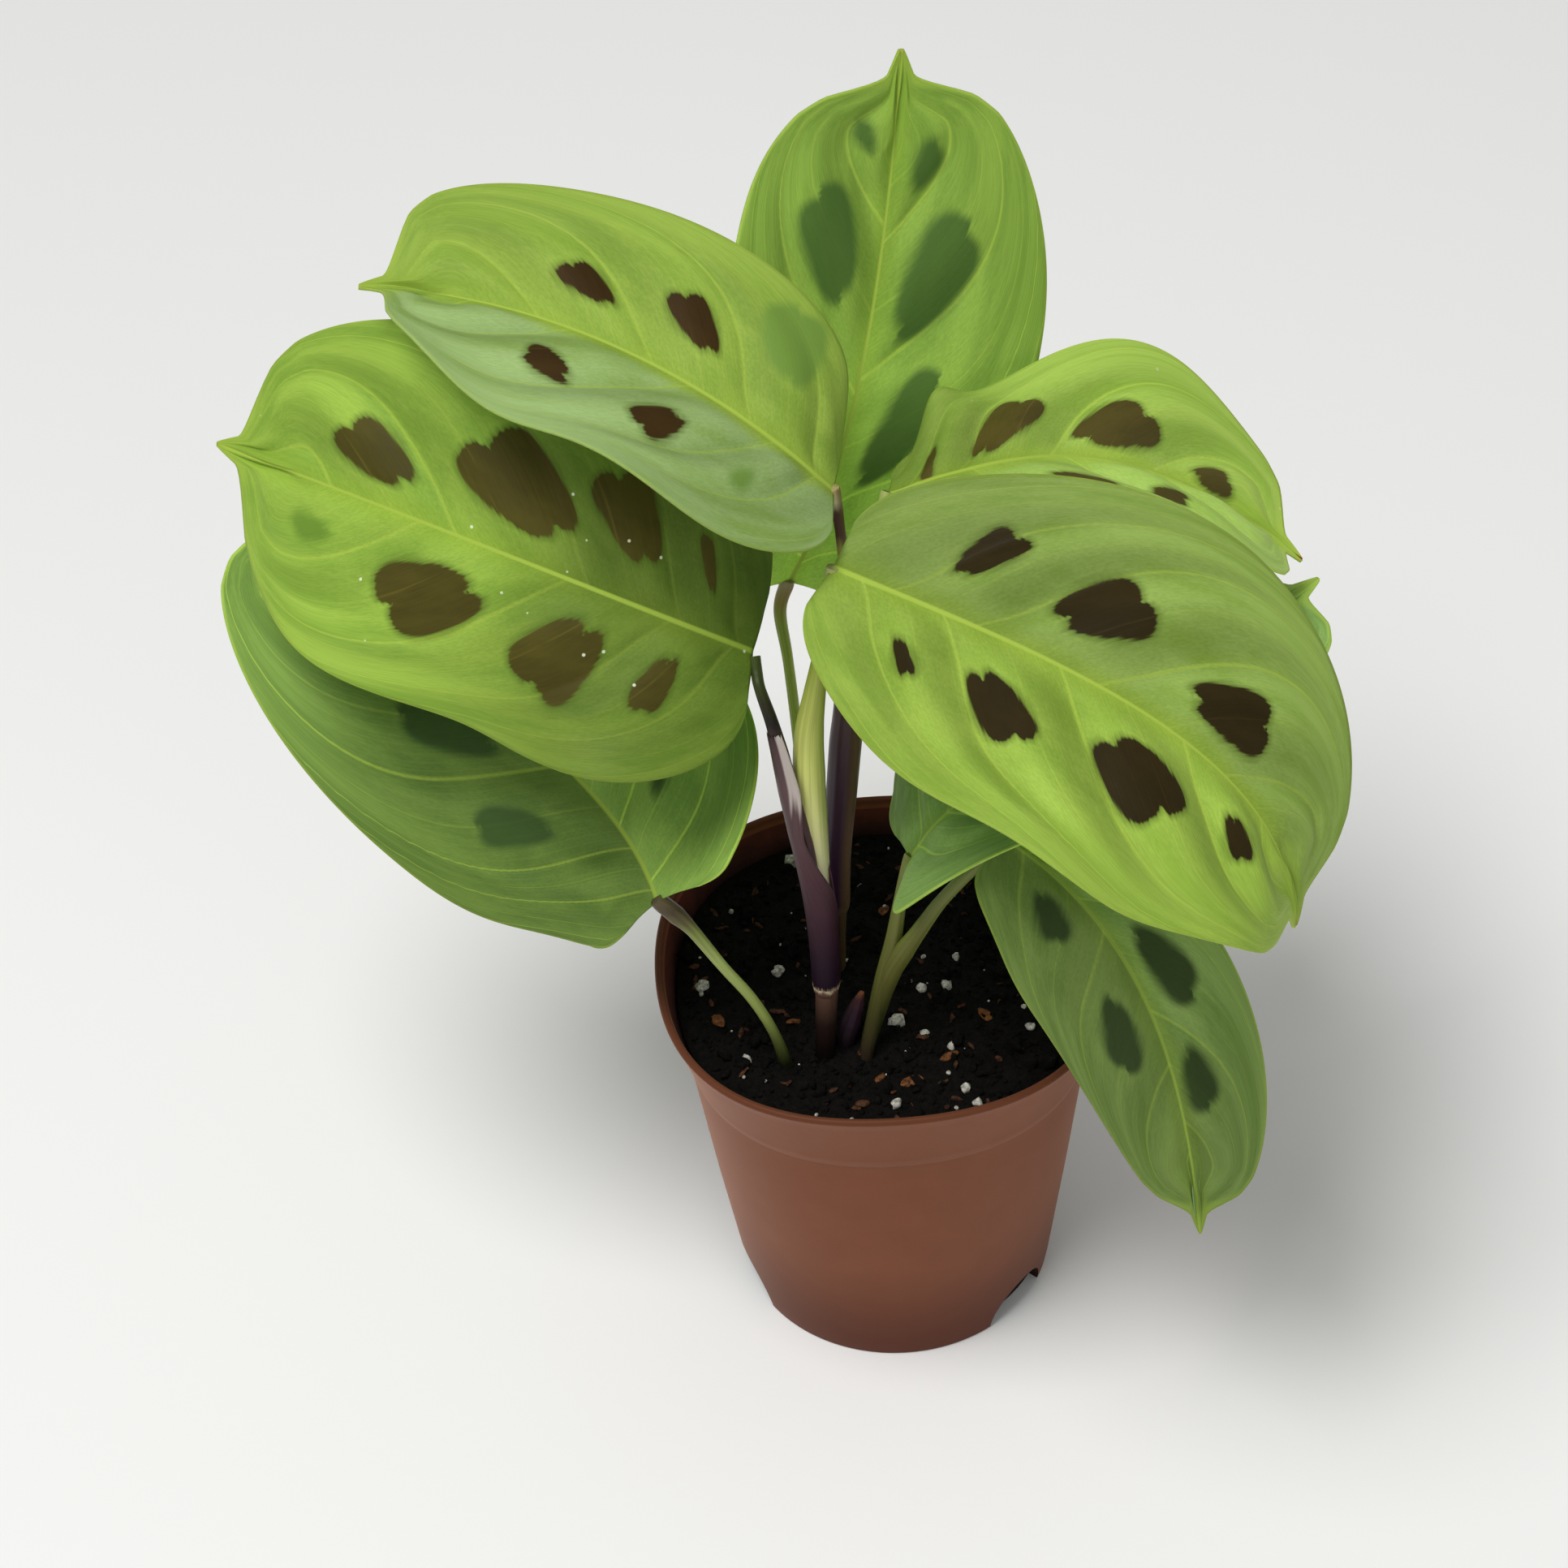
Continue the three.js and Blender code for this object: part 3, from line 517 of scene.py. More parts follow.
def new_piece(name, bm, material):
    """Makes a mesh object from a bmesh in mm, smooth shaded, riding on the body."""
    bmesh.ops.scale(bm, vec=(MM, MM, MM), verts=bm.verts)
    mesh = bpy.data.meshes.new(name)
    bm.to_mesh(mesh)
    bm.free()
    mesh.shade_smooth()
    mesh.materials.append(material)
    piece = bpy.data.objects.new(name, mesh)
    bpy.context.scene.collection.objects.link(piece)
    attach(piece, "root")
    return piece


def grid_surface(columns, rows, place):
    """A grid laid out by place, which turns shares across and along, 0 to 1, into points in mm."""
    bm = bmesh.new()
    bm.loops.layers.uv.new("surface")
    bmesh.ops.create_grid(bm, x_segments=columns, y_segments=rows, size=0.5, calc_uvs=True)
    shares = np.array([vert.co for vert in bm.verts])[:, :2] + 0.5
    points = place(shares[:, 0], shares[:, 1])
    for vert, point in zip(bm.verts, points):
        vert.co = point
    return bm


def close_seams(bm):
    """Merges the grid's meeting edges, closes its ends and turns the faces outwards."""
    bmesh.ops.remove_doubles(bm, verts=bm.verts, dist=1e-4)
    bmesh.ops.holes_fill(bm, edges=bm.edges, sides=0)
    bmesh.ops.recalc_face_normals(bm, faces=bm.faces)


def smooth_path(points, share):
    """Places on a smooth curve through points, and the radius there. share runs from 0 to 1."""
    rows = np.array(points, float)
    place = np.clip(share, 0, 1) * (len(rows) - 1)
    k = np.minimum(place.astype(int), len(rows) - 2)
    t = (place - k)[:, None]
    before = rows[np.maximum(k - 1, 0)]
    after = rows[np.minimum(k + 2, len(rows) - 1)]
    start, end = rows[k], rows[k + 1]
    slope0, slope1 = (end - before) / 2, (after - start) / 2
    weights = (2 * t ** 3 - 3 * t ** 2 + 1, t ** 3 - 2 * t ** 2 + t, 3 * t ** 2 - 2 * t ** 3, t ** 3 - t ** 2)
    curve = weights[0] * start + weights[1] * slope0 + weights[2] * end + weights[3] * slope1
    curve[:, 3] = (start + (end - start) * t)[:, 3]
    return curve


def around_path(points, along, angle, section):
    """Points round a path: section gives the radius's factor for the shares along and the angles round it."""
    step = 1e-3
    middle = smooth_path(points, along)
    forward = smooth_path(points, along + step)[:, :3] - smooth_path(points, along - step)[:, :3]
    forward /= np.linalg.norm(forward, axis=1)[:, None]
    across = np.array([1.0, 0, 0]) - forward * forward[:, :1]
    across /= np.linalg.norm(across, axis=1)[:, None]
    over = np.cross(forward, across)
    radius = (middle[:, 3] * section(along, angle))[:, None]
    return middle[:, :3] + radius * (across * np.cos(angle)[:, None] + over * np.sin(angle)[:, None])


def stem_surface(points, ribs=9, rib_height=0.03):
    """A closed round stem with fine lengthwise ribs. Its UV map runs round it and along it."""
    def section(along, angle):
        return 1 + rib_height * np.cos(ribs * angle)

    def place(around, along):
        return around_path(points, along, 2 * math.pi * around, section)

    bm = grid_surface(STEM_SIDES, (len(points) - 1) * STEM_STEPS, place)
    close_seams(bm)
    return bm


def merged(*surfaces):
    """Several bmeshes in mm as one."""
    whole = bmesh.new()
    for part in surfaces:
        mesh = bpy.data.meshes.new("part")
        part.to_mesh(mesh)
        part.free()
        whole.from_mesh(mesh)
        bpy.data.meshes.remove(mesh)
    return whole


def outline(leaf, side, u):
    """Where a blade's edge is for u from base to tip: along the midrib, and out as part of its half width."""
    full = np.array(leaf["full"])[side]
    widest = np.array(leaf["widest"])[side]
    angle = BASE_ANGLE + (math.pi - BASE_ANGLE) * u
    along = (1 - np.cos(angle)) / 2
    reach = np.where(along < widest, widest, BODY_END - widest)
    away = np.clip(np.abs(along - widest) / reach, 0, 1)
    body = (1 - away ** full) ** (1 / full)
    body = body * smooth_step(0, TIP_SHOULDER, BODY_END - along)
    tip = TIP_WIDTH * np.clip((1 - along) / TIP_LENGTH, 0, 1) ** TIP_POWER
    back = leaf["lobe"] * np.exp(-((angle - LOBE_ANGLE) / LOBE_SPREAD) ** 2)
    return along - back, body * (1 - TIP_WIDTH) + tip + LEAST_WIDTH


def midrib_curve(leaf, t):
    """Places on a blade's midrib for t from base to tip, and how fast they move on with t."""
    p0, p1, p2, p3 = (np.array(point, float) for point in leaf["midrib"])
    centre = (1 - t) ** 3 * p0 + 3 * (1 - t) ** 2 * t * p1 + 3 * (1 - t) * t ** 2 * p2 + t ** 3 * p3
    speed = 3 * (1 - t) ** 2 * (p1 - p0) + 6 * (1 - t) * t * (p2 - p1) + 3 * t ** 2 * (p3 - p2)
    return centre, speed


def midrib_length(leaf):
    """Length of a blade's midrib in mm."""
    steps = 60
    centre, _ = midrib_curve(leaf, np.linspace(0, 1, steps)[:, None])
    return np.linalg.norm(np.diff(centre, axis=0), axis=1).sum()


def towards(pair, share):
    """Goes from the first value of a pair to the second."""
    return pair[0] + (pair[1] - pair[0]) * share


def blade_sheet(leaf, u, v, quilting):
    """A blade's middle sheet for u from base to tip and v from the left edge, -1, to the right, 1.

    Gives the points, and for each in mm where its side vein leaves the midrib, how far out it lies and how
    far along, then which panel between two side veins it is in."""
    side = (v >= 0).astype(int)
    edge_along, wide = outline(leaf, side, u)
    share = np.abs(v)
    along = u + (edge_along - u) * share ** ROW_BEND
    t = np.clip(along, 0, 1)[:, None]
    centre, speed = midrib_curve(leaf, t)
    centre = centre + speed * (along[:, None] - t)
    forward = speed / np.linalg.norm(speed, axis=1)[:, None]
    across = np.cross(forward, np.array(leaf["face"], float))
    across /= np.linalg.norm(across, axis=1)[:, None]
    up = np.cross(across, forward)
    t = t[:, 0]
    roll = np.radians(towards(leaf["roll"], t))[:, None]
    turned = across * np.cos(roll) + up * np.sin(roll)
    normal = up * np.cos(roll) - across * np.sin(roll)
    width, fold_base, fold_tip, curl, ripple = (
        np.array(leaf[key], float)[side] for key in ("half_width", "fold_base", "fold_tip", "curl", "wave"))
    distance = share * wide * width
    start = np.radians(towards((fold_base, fold_tip), t))
    bend = np.radians(curl) / width
    out = (np.sin(start + bend * distance) - np.sin(start)) / bend
    lift = (np.cos(start) - np.cos(start + bend * distance)) / bend
    phase = 2 * math.pi * WAVES * t + math.radians(leaf["wave_phase"]) + np.where(side == 1, 0, WAVE_LAG)
    wave = ripple * np.sin(phase) * (distance / WAVE_REACH) ** 2
    length = midrib_length(leaf)
    merge = SWEEP_MERGE * share
    late = SWEEP_START * share + SWEEP_END * share ** SWEEP_POWER
    lead = 1 + merge - late
    room = np.maximum(lead * lead - 4 * merge * (along - late), 0)
    origin = length * 2 * (along - late) / (lead + np.sqrt(room))
    panel = vein_panel(leaf, side, origin)
    quilt = quilting * (np.abs(np.sin(math.pi * panel)) - 0.5)
    near_midrib, near_edge, near_tip, before_first_vein = (0, 0.22), (0.5, 0.92), (0.8, 1), (-0.5, 0.3)
    quilt = quilt * smooth_step(*near_midrib, share) * (1 - smooth_step(*near_edge, share))
    quilt = quilt * (1 - smooth_step(*near_tip, u)) * smooth_step(*before_first_vein, panel)
    signed = np.where(side == 1, distance, -distance)
    outwards = np.where(side == 1, out, -out)[:, None]
    points = centre + turned * outwards + normal * (lift + wave + quilt)[:, None]
    return points, origin, signed, along * length, panel


def vein_panel(leaf, side, origin):
    """Counts up by one from each main side vein to the next."""
    beyond = 2
    panel = np.zeros_like(origin)
    for half, places in enumerate(leaf["veins"]):
        veins = np.array(places, float)
        reach = beyond * np.diff(veins).mean()
        stops = np.concatenate(([veins[0] - reach], veins, [veins[-1] + reach]))
        numbers = np.concatenate(([-beyond], np.arange(len(veins)), [len(veins) - 1 + beyond]))
        panel = np.where(side == half, np.interp(origin, stops, numbers), panel)
    return panel


def blotch_field(blotches, ahead, signed, lobe_fullness):
    """How deep each point lies inside the nearest blotch, in mm, negative outside.

    A blotch has a lobe on each side of its middle line, and the fuller these are, the more they run together.
    The lobe nearer the leaf's tip reaches a little further out, and both narrow towards the midrib."""
    outside = -5.0
    slip, taper = 0.05, 0.22
    round_end, blunt_end, fullness = 2.0, 3.0, 2.4
    least_radius = 1e-6
    field = np.full_like(ahead, outside)
    for start, out, length, width, turn in blotches:
        lean = math.radians(turn)
        on, off = ahead - start, np.abs(signed) - abs(out)
        beside = on * math.cos(lean) - off * math.sin(lean)
        along = on * math.sin(lean) + off * math.cos(lean) - slip * length * np.sign(beside)
        narrowing = 1 + taper * np.clip(2 * along / length, -1, 1)
        centre = width / 2 / (1 + lobe_fullness)
        from_lobe = np.abs(beside) / narrowing - centre
        lengthwise = np.abs(2 * along / length) ** np.where(along > 0, blunt_end, round_end)
        crosswise = np.abs(from_lobe / (lobe_fullness * centre)) ** fullness
        radius = (lengthwise + crosswise) ** (1 / fullness) + least_radius
        reach = np.hypot(along, from_lobe) / radius
        depth = np.maximum(reach * (1 - radius), outside)
        same_side = np.sign(signed) == np.sign(out)
        field = np.where(same_side, np.maximum(field, depth), field)
    return field


def build_blade(name, leaf, settings, underside):
    """One blade with its marking fields and its fields of painted shading and painted sheen, its thin edge
    and its midrib standing out below.
    """
    shape = {}

    def place(across, along):
        v = 2 * across - 1
        crowded = np.sign(v) * np.abs(v) ** MIDRIB_CROWDING
        points, origin, signed, ahead, panel = blade_sheet(leaf, along, crowded, settings.quilting / MM)
        side = (crowded >= 0).astype(int)
        width = np.array(leaf["half_width"], float)[side]
        edge = outline(leaf, side, along)[1] * width * (1 - np.abs(crowded))
        shape.update(origin=origin, signed=signed, ahead=ahead, panel=panel, along=along, side=side,
                     edge=edge)
        return points

    bm = grid_surface(CELLS_ACROSS, CELLS_ALONG, place)
    origin, signed, along, side = (shape[key] for key in ("origin", "signed", "along", "side"))
    out = np.abs(signed)
    # Painted light and shade along the blade: mostly the shade of the leaves above and how the light falls,
    # partly the tissue's own tone
    painted_shading = towards([np.array(leaf[key])[side] for key in ("painted_shading_base", "painted_shading_tip")],
                    smooth_step(*leaf["painted_shading_span"], along))
    from_midrib, from_edge, near_tip = (1, 8), (0, 8), (0.75, 0.95)
    # Painted light and shade on the quilting: lighter behind each side vein, darker ahead of the next
    painted_panel_shading = leaf["painted_panel_shading"] * np.sin(2 * math.pi * shape["panel"]) * smooth_step(*from_midrib, out)
    painted_panel_shading = painted_panel_shading * smooth_step(*from_edge, shape["edge"]) * (1 - smooth_step(*near_tip, along))
    painted_sheen_starts = (0.5, 4)
    shape["brown_blotch"] = blotch_field(leaf["brown"], shape["ahead"], signed, BROWN_LOBES)
    shape["green_blotch"] = blotch_field(leaf["green"], shape["ahead"], signed, GREEN_LOBES)
    shape["painted_shading"] = painted_shading * (1 + painted_panel_shading)
    # Painted sheen: a pale bluish reflection of the white surroundings, set apart for each side of the midrib
    shape["painted_sheen"] = np.where(signed < 0, *leaf["painted_sheen"]) * smooth_step(*painted_sheen_starts, out)
    for key in BLADE_FIELDS:
        layer = bm.verts.layers.float.new(key)
        for vert, value in zip(bm.verts, shape[key]):
            vert[layer] = value
    veins = bm.loops.layers.uv.new("veins")
    for face in bm.faces:
        for loop in face.loops:
            k = loop.vert.index
            loop[veins].uv = (origin[k] / UV_UNIT, signed[k] / UV_UNIT)
    body_share = settings.thickness / settings.rib
    rib_reach, rib_taper = 1.1, 0.7
    weights = body_share + (1 - body_share) * np.exp(-(signed / rib_reach) ** 2) * (1 - rib_taper * along)
    piece = new_piece(name + "_blade", bm, leaf_surface(name, leaf, settings))
    piece.data.materials.append(underside)
    group = piece.vertex_groups.new(name="rib")
    for k, weight in enumerate(weights):
        group.add([k], float(weight), "REPLACE")
    thick = piece.modifiers.new("thickness", "SOLIDIFY")
    thick.thickness = settings.rib
    thick.offset = -1
    thick.vertex_group = "rib"
    thick.material_offset = 1
    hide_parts(name)


def painted(tree, colour, layers):
    """Lays colours over a first one. A layer is a colour and the shares whose product is how far it covers.

    A share is a number field, or a soft step in one: the field, the two values between which it changes, and
    what it is at each of them."""
    for cover, *shares in layers:
        covered = None
        for share in shares:
            if isinstance(share, tuple):
                share = add_node(tree, "ShaderNodeMapRange", SMOOTH, dict(zip(STEP_INPUTS, share)))
            if covered is not None:
                share = add_node(tree, "ShaderNodeMath", {"operation": "MULTIPLY"}, {0: covered, 1: share})
            covered = share
        colour = add_node(tree, "ShaderNodeMix", {"data_type": "RGBA"},
                          {"Factor": covered, "A": colour, "B": cover})
    return colour


def calculated(tree, fields, sums):
    """Works out further number fields. Each sum is its name, its operation and its terms: numbers, or the
    names of fields that are there already."""
    for name, operation, *terms in sums:
        inputs = {place: fields.get(term, term) for place, term in enumerate(terms)}
        fields[name] = add_node(tree, "ShaderNodeMath", {"operation": operation}, inputs)


def leaf_surface(name, leaf, settings):
    """Upper side of a living leaf: satin cuticle over yellow-green tissue, with pale veins, fine fibres
    along the side veins, and dark blotches whose ends fray along those fibres. The tissue also carries
    painted light and shade, and a painted sheen."""
    material, tree, shader = new_material(name + "_leaf_upper_side")
    seed = float(list(LEAVES).index(name) * 17)
    veins = add_node(tree, "ShaderNodeUVMap", {"uv_map": "veins"})
    on_blade = add_node(tree, "ShaderNodeSeparateXYZ", inputs={0: veins})
    fields = {"veinward": on_blade.outputs["X"], "outward": on_blade.outputs["Y"]}
    for key in BLADE_FIELDS:
        fields[key] = add_node(tree, "ShaderNodeAttribute", {"attribute_name": key}).outputs["Fac"]
    # Sizes in mm across and along the side veins, and the detail in them
    grains = {"fibres": (0.55, 7.0, 2.0), "frayed": (0.8, 9.0, 1.0), "clouds": (14.0, 11.0, 3.0),
              "cells": (0.5, 0.6, 2.0)}
    for key, (across_fibres, along_fibres, detail) in grains.items():
        scale = (UV_UNIT / across_fibres, UV_UNIT / along_fibres, 1)
        spread = add_node(tree, "ShaderNodeMapping",
                          inputs={"Vector": veins, "Scale": scale, "Location": (seed, seed, 0)})
        fields[key] = add_node(tree, "ShaderNodeTexNoise", {"noise_dimensions": "2D"},
                               {"Vector": spread, "Scale": 1.0, "Detail": detail, "Roughness": 0.6})
    panel_width, fine_spacing = 20.0, 1.9
    calculated(tree, fields, [
        ("signed_distance", "MULTIPLY", "outward", UV_UNIT),
        ("distance", "ABSOLUTE", "signed_distance"),
        ("panel_share", "PINGPONG", "panel", 0.5),
        ("to_main_vein", "MULTIPLY", "panel_share", panel_width),
        ("to_middle_vein", "SUBTRACT", panel_width / 2, "to_main_vein"),
        ("fine_rows", "MULTIPLY", "veinward", UV_UNIT / fine_spacing),
        ("to_fine_vein", "PINGPONG", "fine_rows", 0.5),
        ("midrib_width", "MULTIPLY_ADD", "along", -0.35, 0.55),
        ("midrib_share", "DIVIDE", "distance", "midrib_width"),
        ("ragged", "MULTIPLY_ADD", "frayed", 1.2, -0.6),
        ("brown_depth", "ADD", "brown_blotch", "ragged"),
        ("green_depth", "MULTIPLY_ADD", "ragged", 0.6, "green_blotch"),
    ])

    green, light = (linear(colour) for colour in leaf["colours"])
    blotch = linear(leaf["blotch"])
    vein_colour = tuple(settings.vein)
    clearness = leaf["vein"]
    middle_vein = (fields["to_middle_vein"], 0.1, 0.35)
    tissue = painted(tree, green, [
        (light, (fields["clouds"], 0.3, 0.7, 0.0, 1.0)),
        (lit(green, 0.7), (fields["fibres"], 0.35, 0.75, 0.0, 0.12)),
        (vein_colour, (fields["to_fine_vein"], 0.0, 0.16, 0.06, 0.0)),
        (light, (fields["distance"], 0.0, 8.0, 0.35, 0.0)),
        # Painted sheen: a pale bluish reflection of the white surroundings
        (tuple(settings.painted_sheen), fields["painted_sheen"], (fields["clouds"], 0.2, 0.65, 0.35, 1.0)),
        (vein_colour, (fields["to_main_vein"], 0.1, 0.6, 0.55 * clearness, 0.0),
         (fields["along"], 0.8, 0.95, 1.0, 0.0)),
        (vein_colour, (*middle_vein, 0.2 * clearness, 0.0)),
        (vein_colour, (fields["edge"], 0.1, 0.5, 0.4, 0.0)),
    ])
    # Painted light and shade: the tissue's colour is scaled by the blade's painted shading, with a fine
    # random mottle of cells in it
    cell_mottle = add_node(tree, "ShaderNodeMapRange", SMOOTH,
                     dict(zip(STEP_INPUTS, (fields["cells"], 0.25, 0.75, 0.93, 1.07))))
    painted_shading = add_node(tree, "ShaderNodeMath", {"operation": "MULTIPLY"}, {0: fields["painted_shading"], 1: cell_mottle})
    tissue = add_node(tree, "ShaderNodeVectorMath", {"operation": "SCALE"}, {0: tissue, "Scale": painted_shading})
    streaked = painted(tree, blotch, [
        (lit(blotch, 1.7), (fields["clouds"], 0.35, 0.75, 0.0, 0.6)),
        (lit(blotch, 1.5), (fields["fibres"], 0.3, 0.8, 0.0, 0.4)),
        (lit(blotch, 2.2), (*middle_vein, 1.0, 0.0), (fields["frayed"], 0.4, 0.6, 0.0, 0.5)),
    ])
    speck_spacing = 7.0 * MM
    place = add_node(tree, "ShaderNodeTexCoord").outputs["Object"]
    specks = add_node(tree, "ShaderNodeTexVoronoi", inputs={"Vector": place, "Scale": 1 / speck_spacing})
    tissue = painted(tree, tissue, [
        (linear(leaf["soft_blotch"]), (fields["green_depth"], -1.7, 1.3, 0.0, 0.9)),
        (lit(green, 0.35), (fields["brown_depth"], -1.9, 0.2, 0.0, 0.6)),
        (streaked, (fields["brown_depth"], -0.35, 0.4, 0.0, 1.0)),
        (vein_colour, (fields["midrib_share"], 0.4, 1.3, 0.9 * clearness, 0.0)),
        (linear("#9a5a24"), (fields["along"], 0.975, 0.99, 0.0, leaf["dry"])),
        (linear("#dfe6c8"), (specks, 0.032, 0.055, 0.85 * leaf["specks"], 0.0)),
    ])

    groove = add_node(tree, "ShaderNodeMapRange", SMOOTH,
                      dict(zip(STEP_INPUTS, (fields["to_fine_vein"], 0.0, 0.16, -0.3, 0.0))))
    height = add_node(tree, "ShaderNodeMath", {"operation": "MULTIPLY_ADD"},
                      {0: fields["fibres"], 1: 0.3, 2: groove})
    dullness = add_node(tree, "ShaderNodeMapRange", SMOOTH,
                        dict(zip(STEP_INPUTS, (fields["fibres"], 0.2, 0.8, 0.5, 0.65))))
    relief = add_node(tree, "ShaderNodeBump",
                      inputs={"Strength": 0.4, "Distance": 0.1 * MM, "Height": height})
    feed(shader, {"Base Color": tissue, "Normal": relief, "Roughness": dullness, "Specular IOR Level": 0.09})
    feed(shader, LEAF_FLESH)
    return material


def leaf_underside():
    """Underside of the leaf: paler and duller, because its skin is matt and full of pores."""
    material, tree, shader = new_material("leaf_underside")
    veins = add_node(tree, "ShaderNodeUVMap", {"uv_map": "veins"})
    fibre_width, fibre_length = 0.7, 8.0
    spread = add_node(tree, "ShaderNodeMapping",
                      inputs={"Vector": veins, "Scale": (UV_UNIT / fibre_width, UV_UNIT / fibre_length, 1)})
    fibres = add_node(tree, "ShaderNodeTexNoise", {"noise_dimensions": "2D"},
                      {"Vector": spread, "Scale": 1.0, "Detail": 2.0})
    tissue = painted(tree, linear("#7fa86a"), [(linear("#9dc088"), fibres)])
    relief = add_node(tree, "ShaderNodeBump",
                      inputs={"Strength": 0.4, "Distance": 0.15 * MM, "Height": fibres})
    feed(shader, {"Base Color": tissue, "Normal": relief, "Roughness": 0.6})
    feed(shader, LEAF_FLESH)
    return material


def stem_skin(name, stops, edge=None, roughness=0.42, membrane=None):
    """Smooth skin of a fleshy stem: colour changes with height, with fine lengthwise streaks.

    stops are heights in mm with a colour. edge is a colour for the side at an angle round the stem,
    with its strength: (colour, turns, strength). membrane is the colour of a sheath's dry upper margin."""
    material, tree, shader = new_material(name)
    place = add_node(tree, "ShaderNodeTexCoord").outputs["Object"]
    height = add_node(tree, "ShaderNodeSeparateXYZ", inputs={0: place}).outputs["Z"]
    around = add_node(tree, "ShaderNodeUVMap", {"uv_map": "surface"})
    on_skin = add_node(tree, "ShaderNodeSeparateXYZ", inputs={0: around})
    streaks_round, streaks_along = 26, 2.2
    streak_place = add_node(tree, "ShaderNodeMapping",
                            inputs={"Vector": around, "Scale": (streaks_round, streaks_along, 1)})
    streaks = add_node(tree, "ShaderNodeTexNoise", {"noise_dimensions": "2D"},
                       {"Vector": streak_place, "Scale": 1.0, "Detail": 3.0, "Roughness": 0.6})
    wander = 2.4 * MM
    low, high = stops[0][0] * MM, stops[-1][0] * MM
    level = add_node(tree, "ShaderNodeMath", {"operation": "MULTIPLY_ADD"},
                     {0: streaks, 1: wander, 2: height})
    share = add_node(tree, "ShaderNodeMapRange",
                     inputs={"Value": level, "From Min": low + wander / 2, "From Max": high + wander / 2})
    ramp = add_node(tree, "ShaderNodeValToRGB", inputs={0: share})
    while len(ramp.color_ramp.elements) < len(stops):
        ramp.color_ramp.elements.new(1.0)
    for element, (stop, colour) in zip(ramp.color_ramp.elements, stops):
        element.position = (stop * MM - low) / (high - low)
        element.color = linear(colour)
    streak_share = add_node(tree, "ShaderNodeMapRange",
                            inputs={"Value": streaks, "From Min": 0.45, "From Max": 0.75, "To Max": 0.6})
    colour = add_node(tree, "ShaderNodeMix", {"data_type": "RGBA", "blend_type": "MULTIPLY"},
                      {"Factor": streak_share, "A": ramp, "B": (0.55, 0.5, 0.5, 1)})
    if edge:
        side_colour, turns, strength = edge
        angle = add_node(tree, "ShaderNodeMath", {"operation": "MULTIPLY_ADD"},
                         {0: on_skin.outputs["X"], 1: 2 * math.pi, 2: -2 * math.pi * turns})
        facing = add_node(tree, "ShaderNodeMath", {"operation": "COSINE"}, {0: angle})
        colour = painted(tree, colour, [(linear(side_colour), (facing, 0.1, 0.95, 0.0, strength))])
    if membrane:
        reach = add_node(tree, "ShaderNodeMath", {"operation": "MULTIPLY_ADD"},
                         {0: streaks, 1: 0.12, 2: on_skin.outputs["X"]})
        colour = painted(tree, colour, [(linear(membrane), (reach, 0.8, 0.88, 0.0, 1.0),
                                         (on_skin.outputs["Y"], 0.64, 0.72, 0.0, 0.85))])
    relief = add_node(tree, "ShaderNodeBump",
                      inputs={"Strength": 0.4, "Distance": 0.12 * MM, "Height": streaks})
    feed(shader, {"Base Color": colour, "Normal": relief, "Roughness": roughness, "Specular IOR Level": 0.22,
                  "Subsurface Weight": 0.1, "Subsurface Radius": (1.0, 0.8, 0.4),
                  "Subsurface Scale": 0.6 * MM})
    return material


def moulded_plastic(settings):
    """Polypropylene as moulded: satin, a little mottled and dusty, darker and redder towards the foot, with a
    darker lip.
    """
    material, tree, shader = new_material("moulded_polypropylene")
    place = add_node(tree, "ShaderNodeTexCoord").outputs["Object"]
    height = add_node(tree, "ShaderNodeSeparateXYZ", inputs={0: place}).outputs["Z"]
    mottle_size, grain_size = 9 * MM, 0.45 * MM
    mottle = add_node(tree, "ShaderNodeTexNoise",
                      inputs={"Vector": place, "Scale": 1 / mottle_size, "Detail": 4.0, "Roughness": 0.65})
    top = settings.height
    colour = painted(tree, lit(settings.colour, 0.88), [
        (lit(settings.colour, 1.12), mottle),
        # Darker and redder towards the foot
        (linear("#4e2212"), (height, 2 * MM, 34 * MM, 0.85, 0.0)),
        (tuple(settings.lip_colour), (height, top - 1.6 * MM, top - 0.5 * MM, 0.0, 0.85)),
    ])
    grain = add_node(tree, "ShaderNodeTexNoise",
                     inputs={"Vector": place, "Scale": 1 / grain_size, "Detail": 2.0})
    relief = add_node(tree, "ShaderNodeBump",
                      inputs={"Strength": 0.25, "Distance": 0.05 * MM, "Height": grain})
    feed(shader, {"Base Color": colour, "Normal": relief, "Roughness": 0.46, "IOR": 1.49,
                  "Specular IOR Level": 0.1, "Sheen Weight": 0.26, "Sheen Roughness": 0.35,
                  "Sheen Tint": linear("#e0a68a")})
    return material


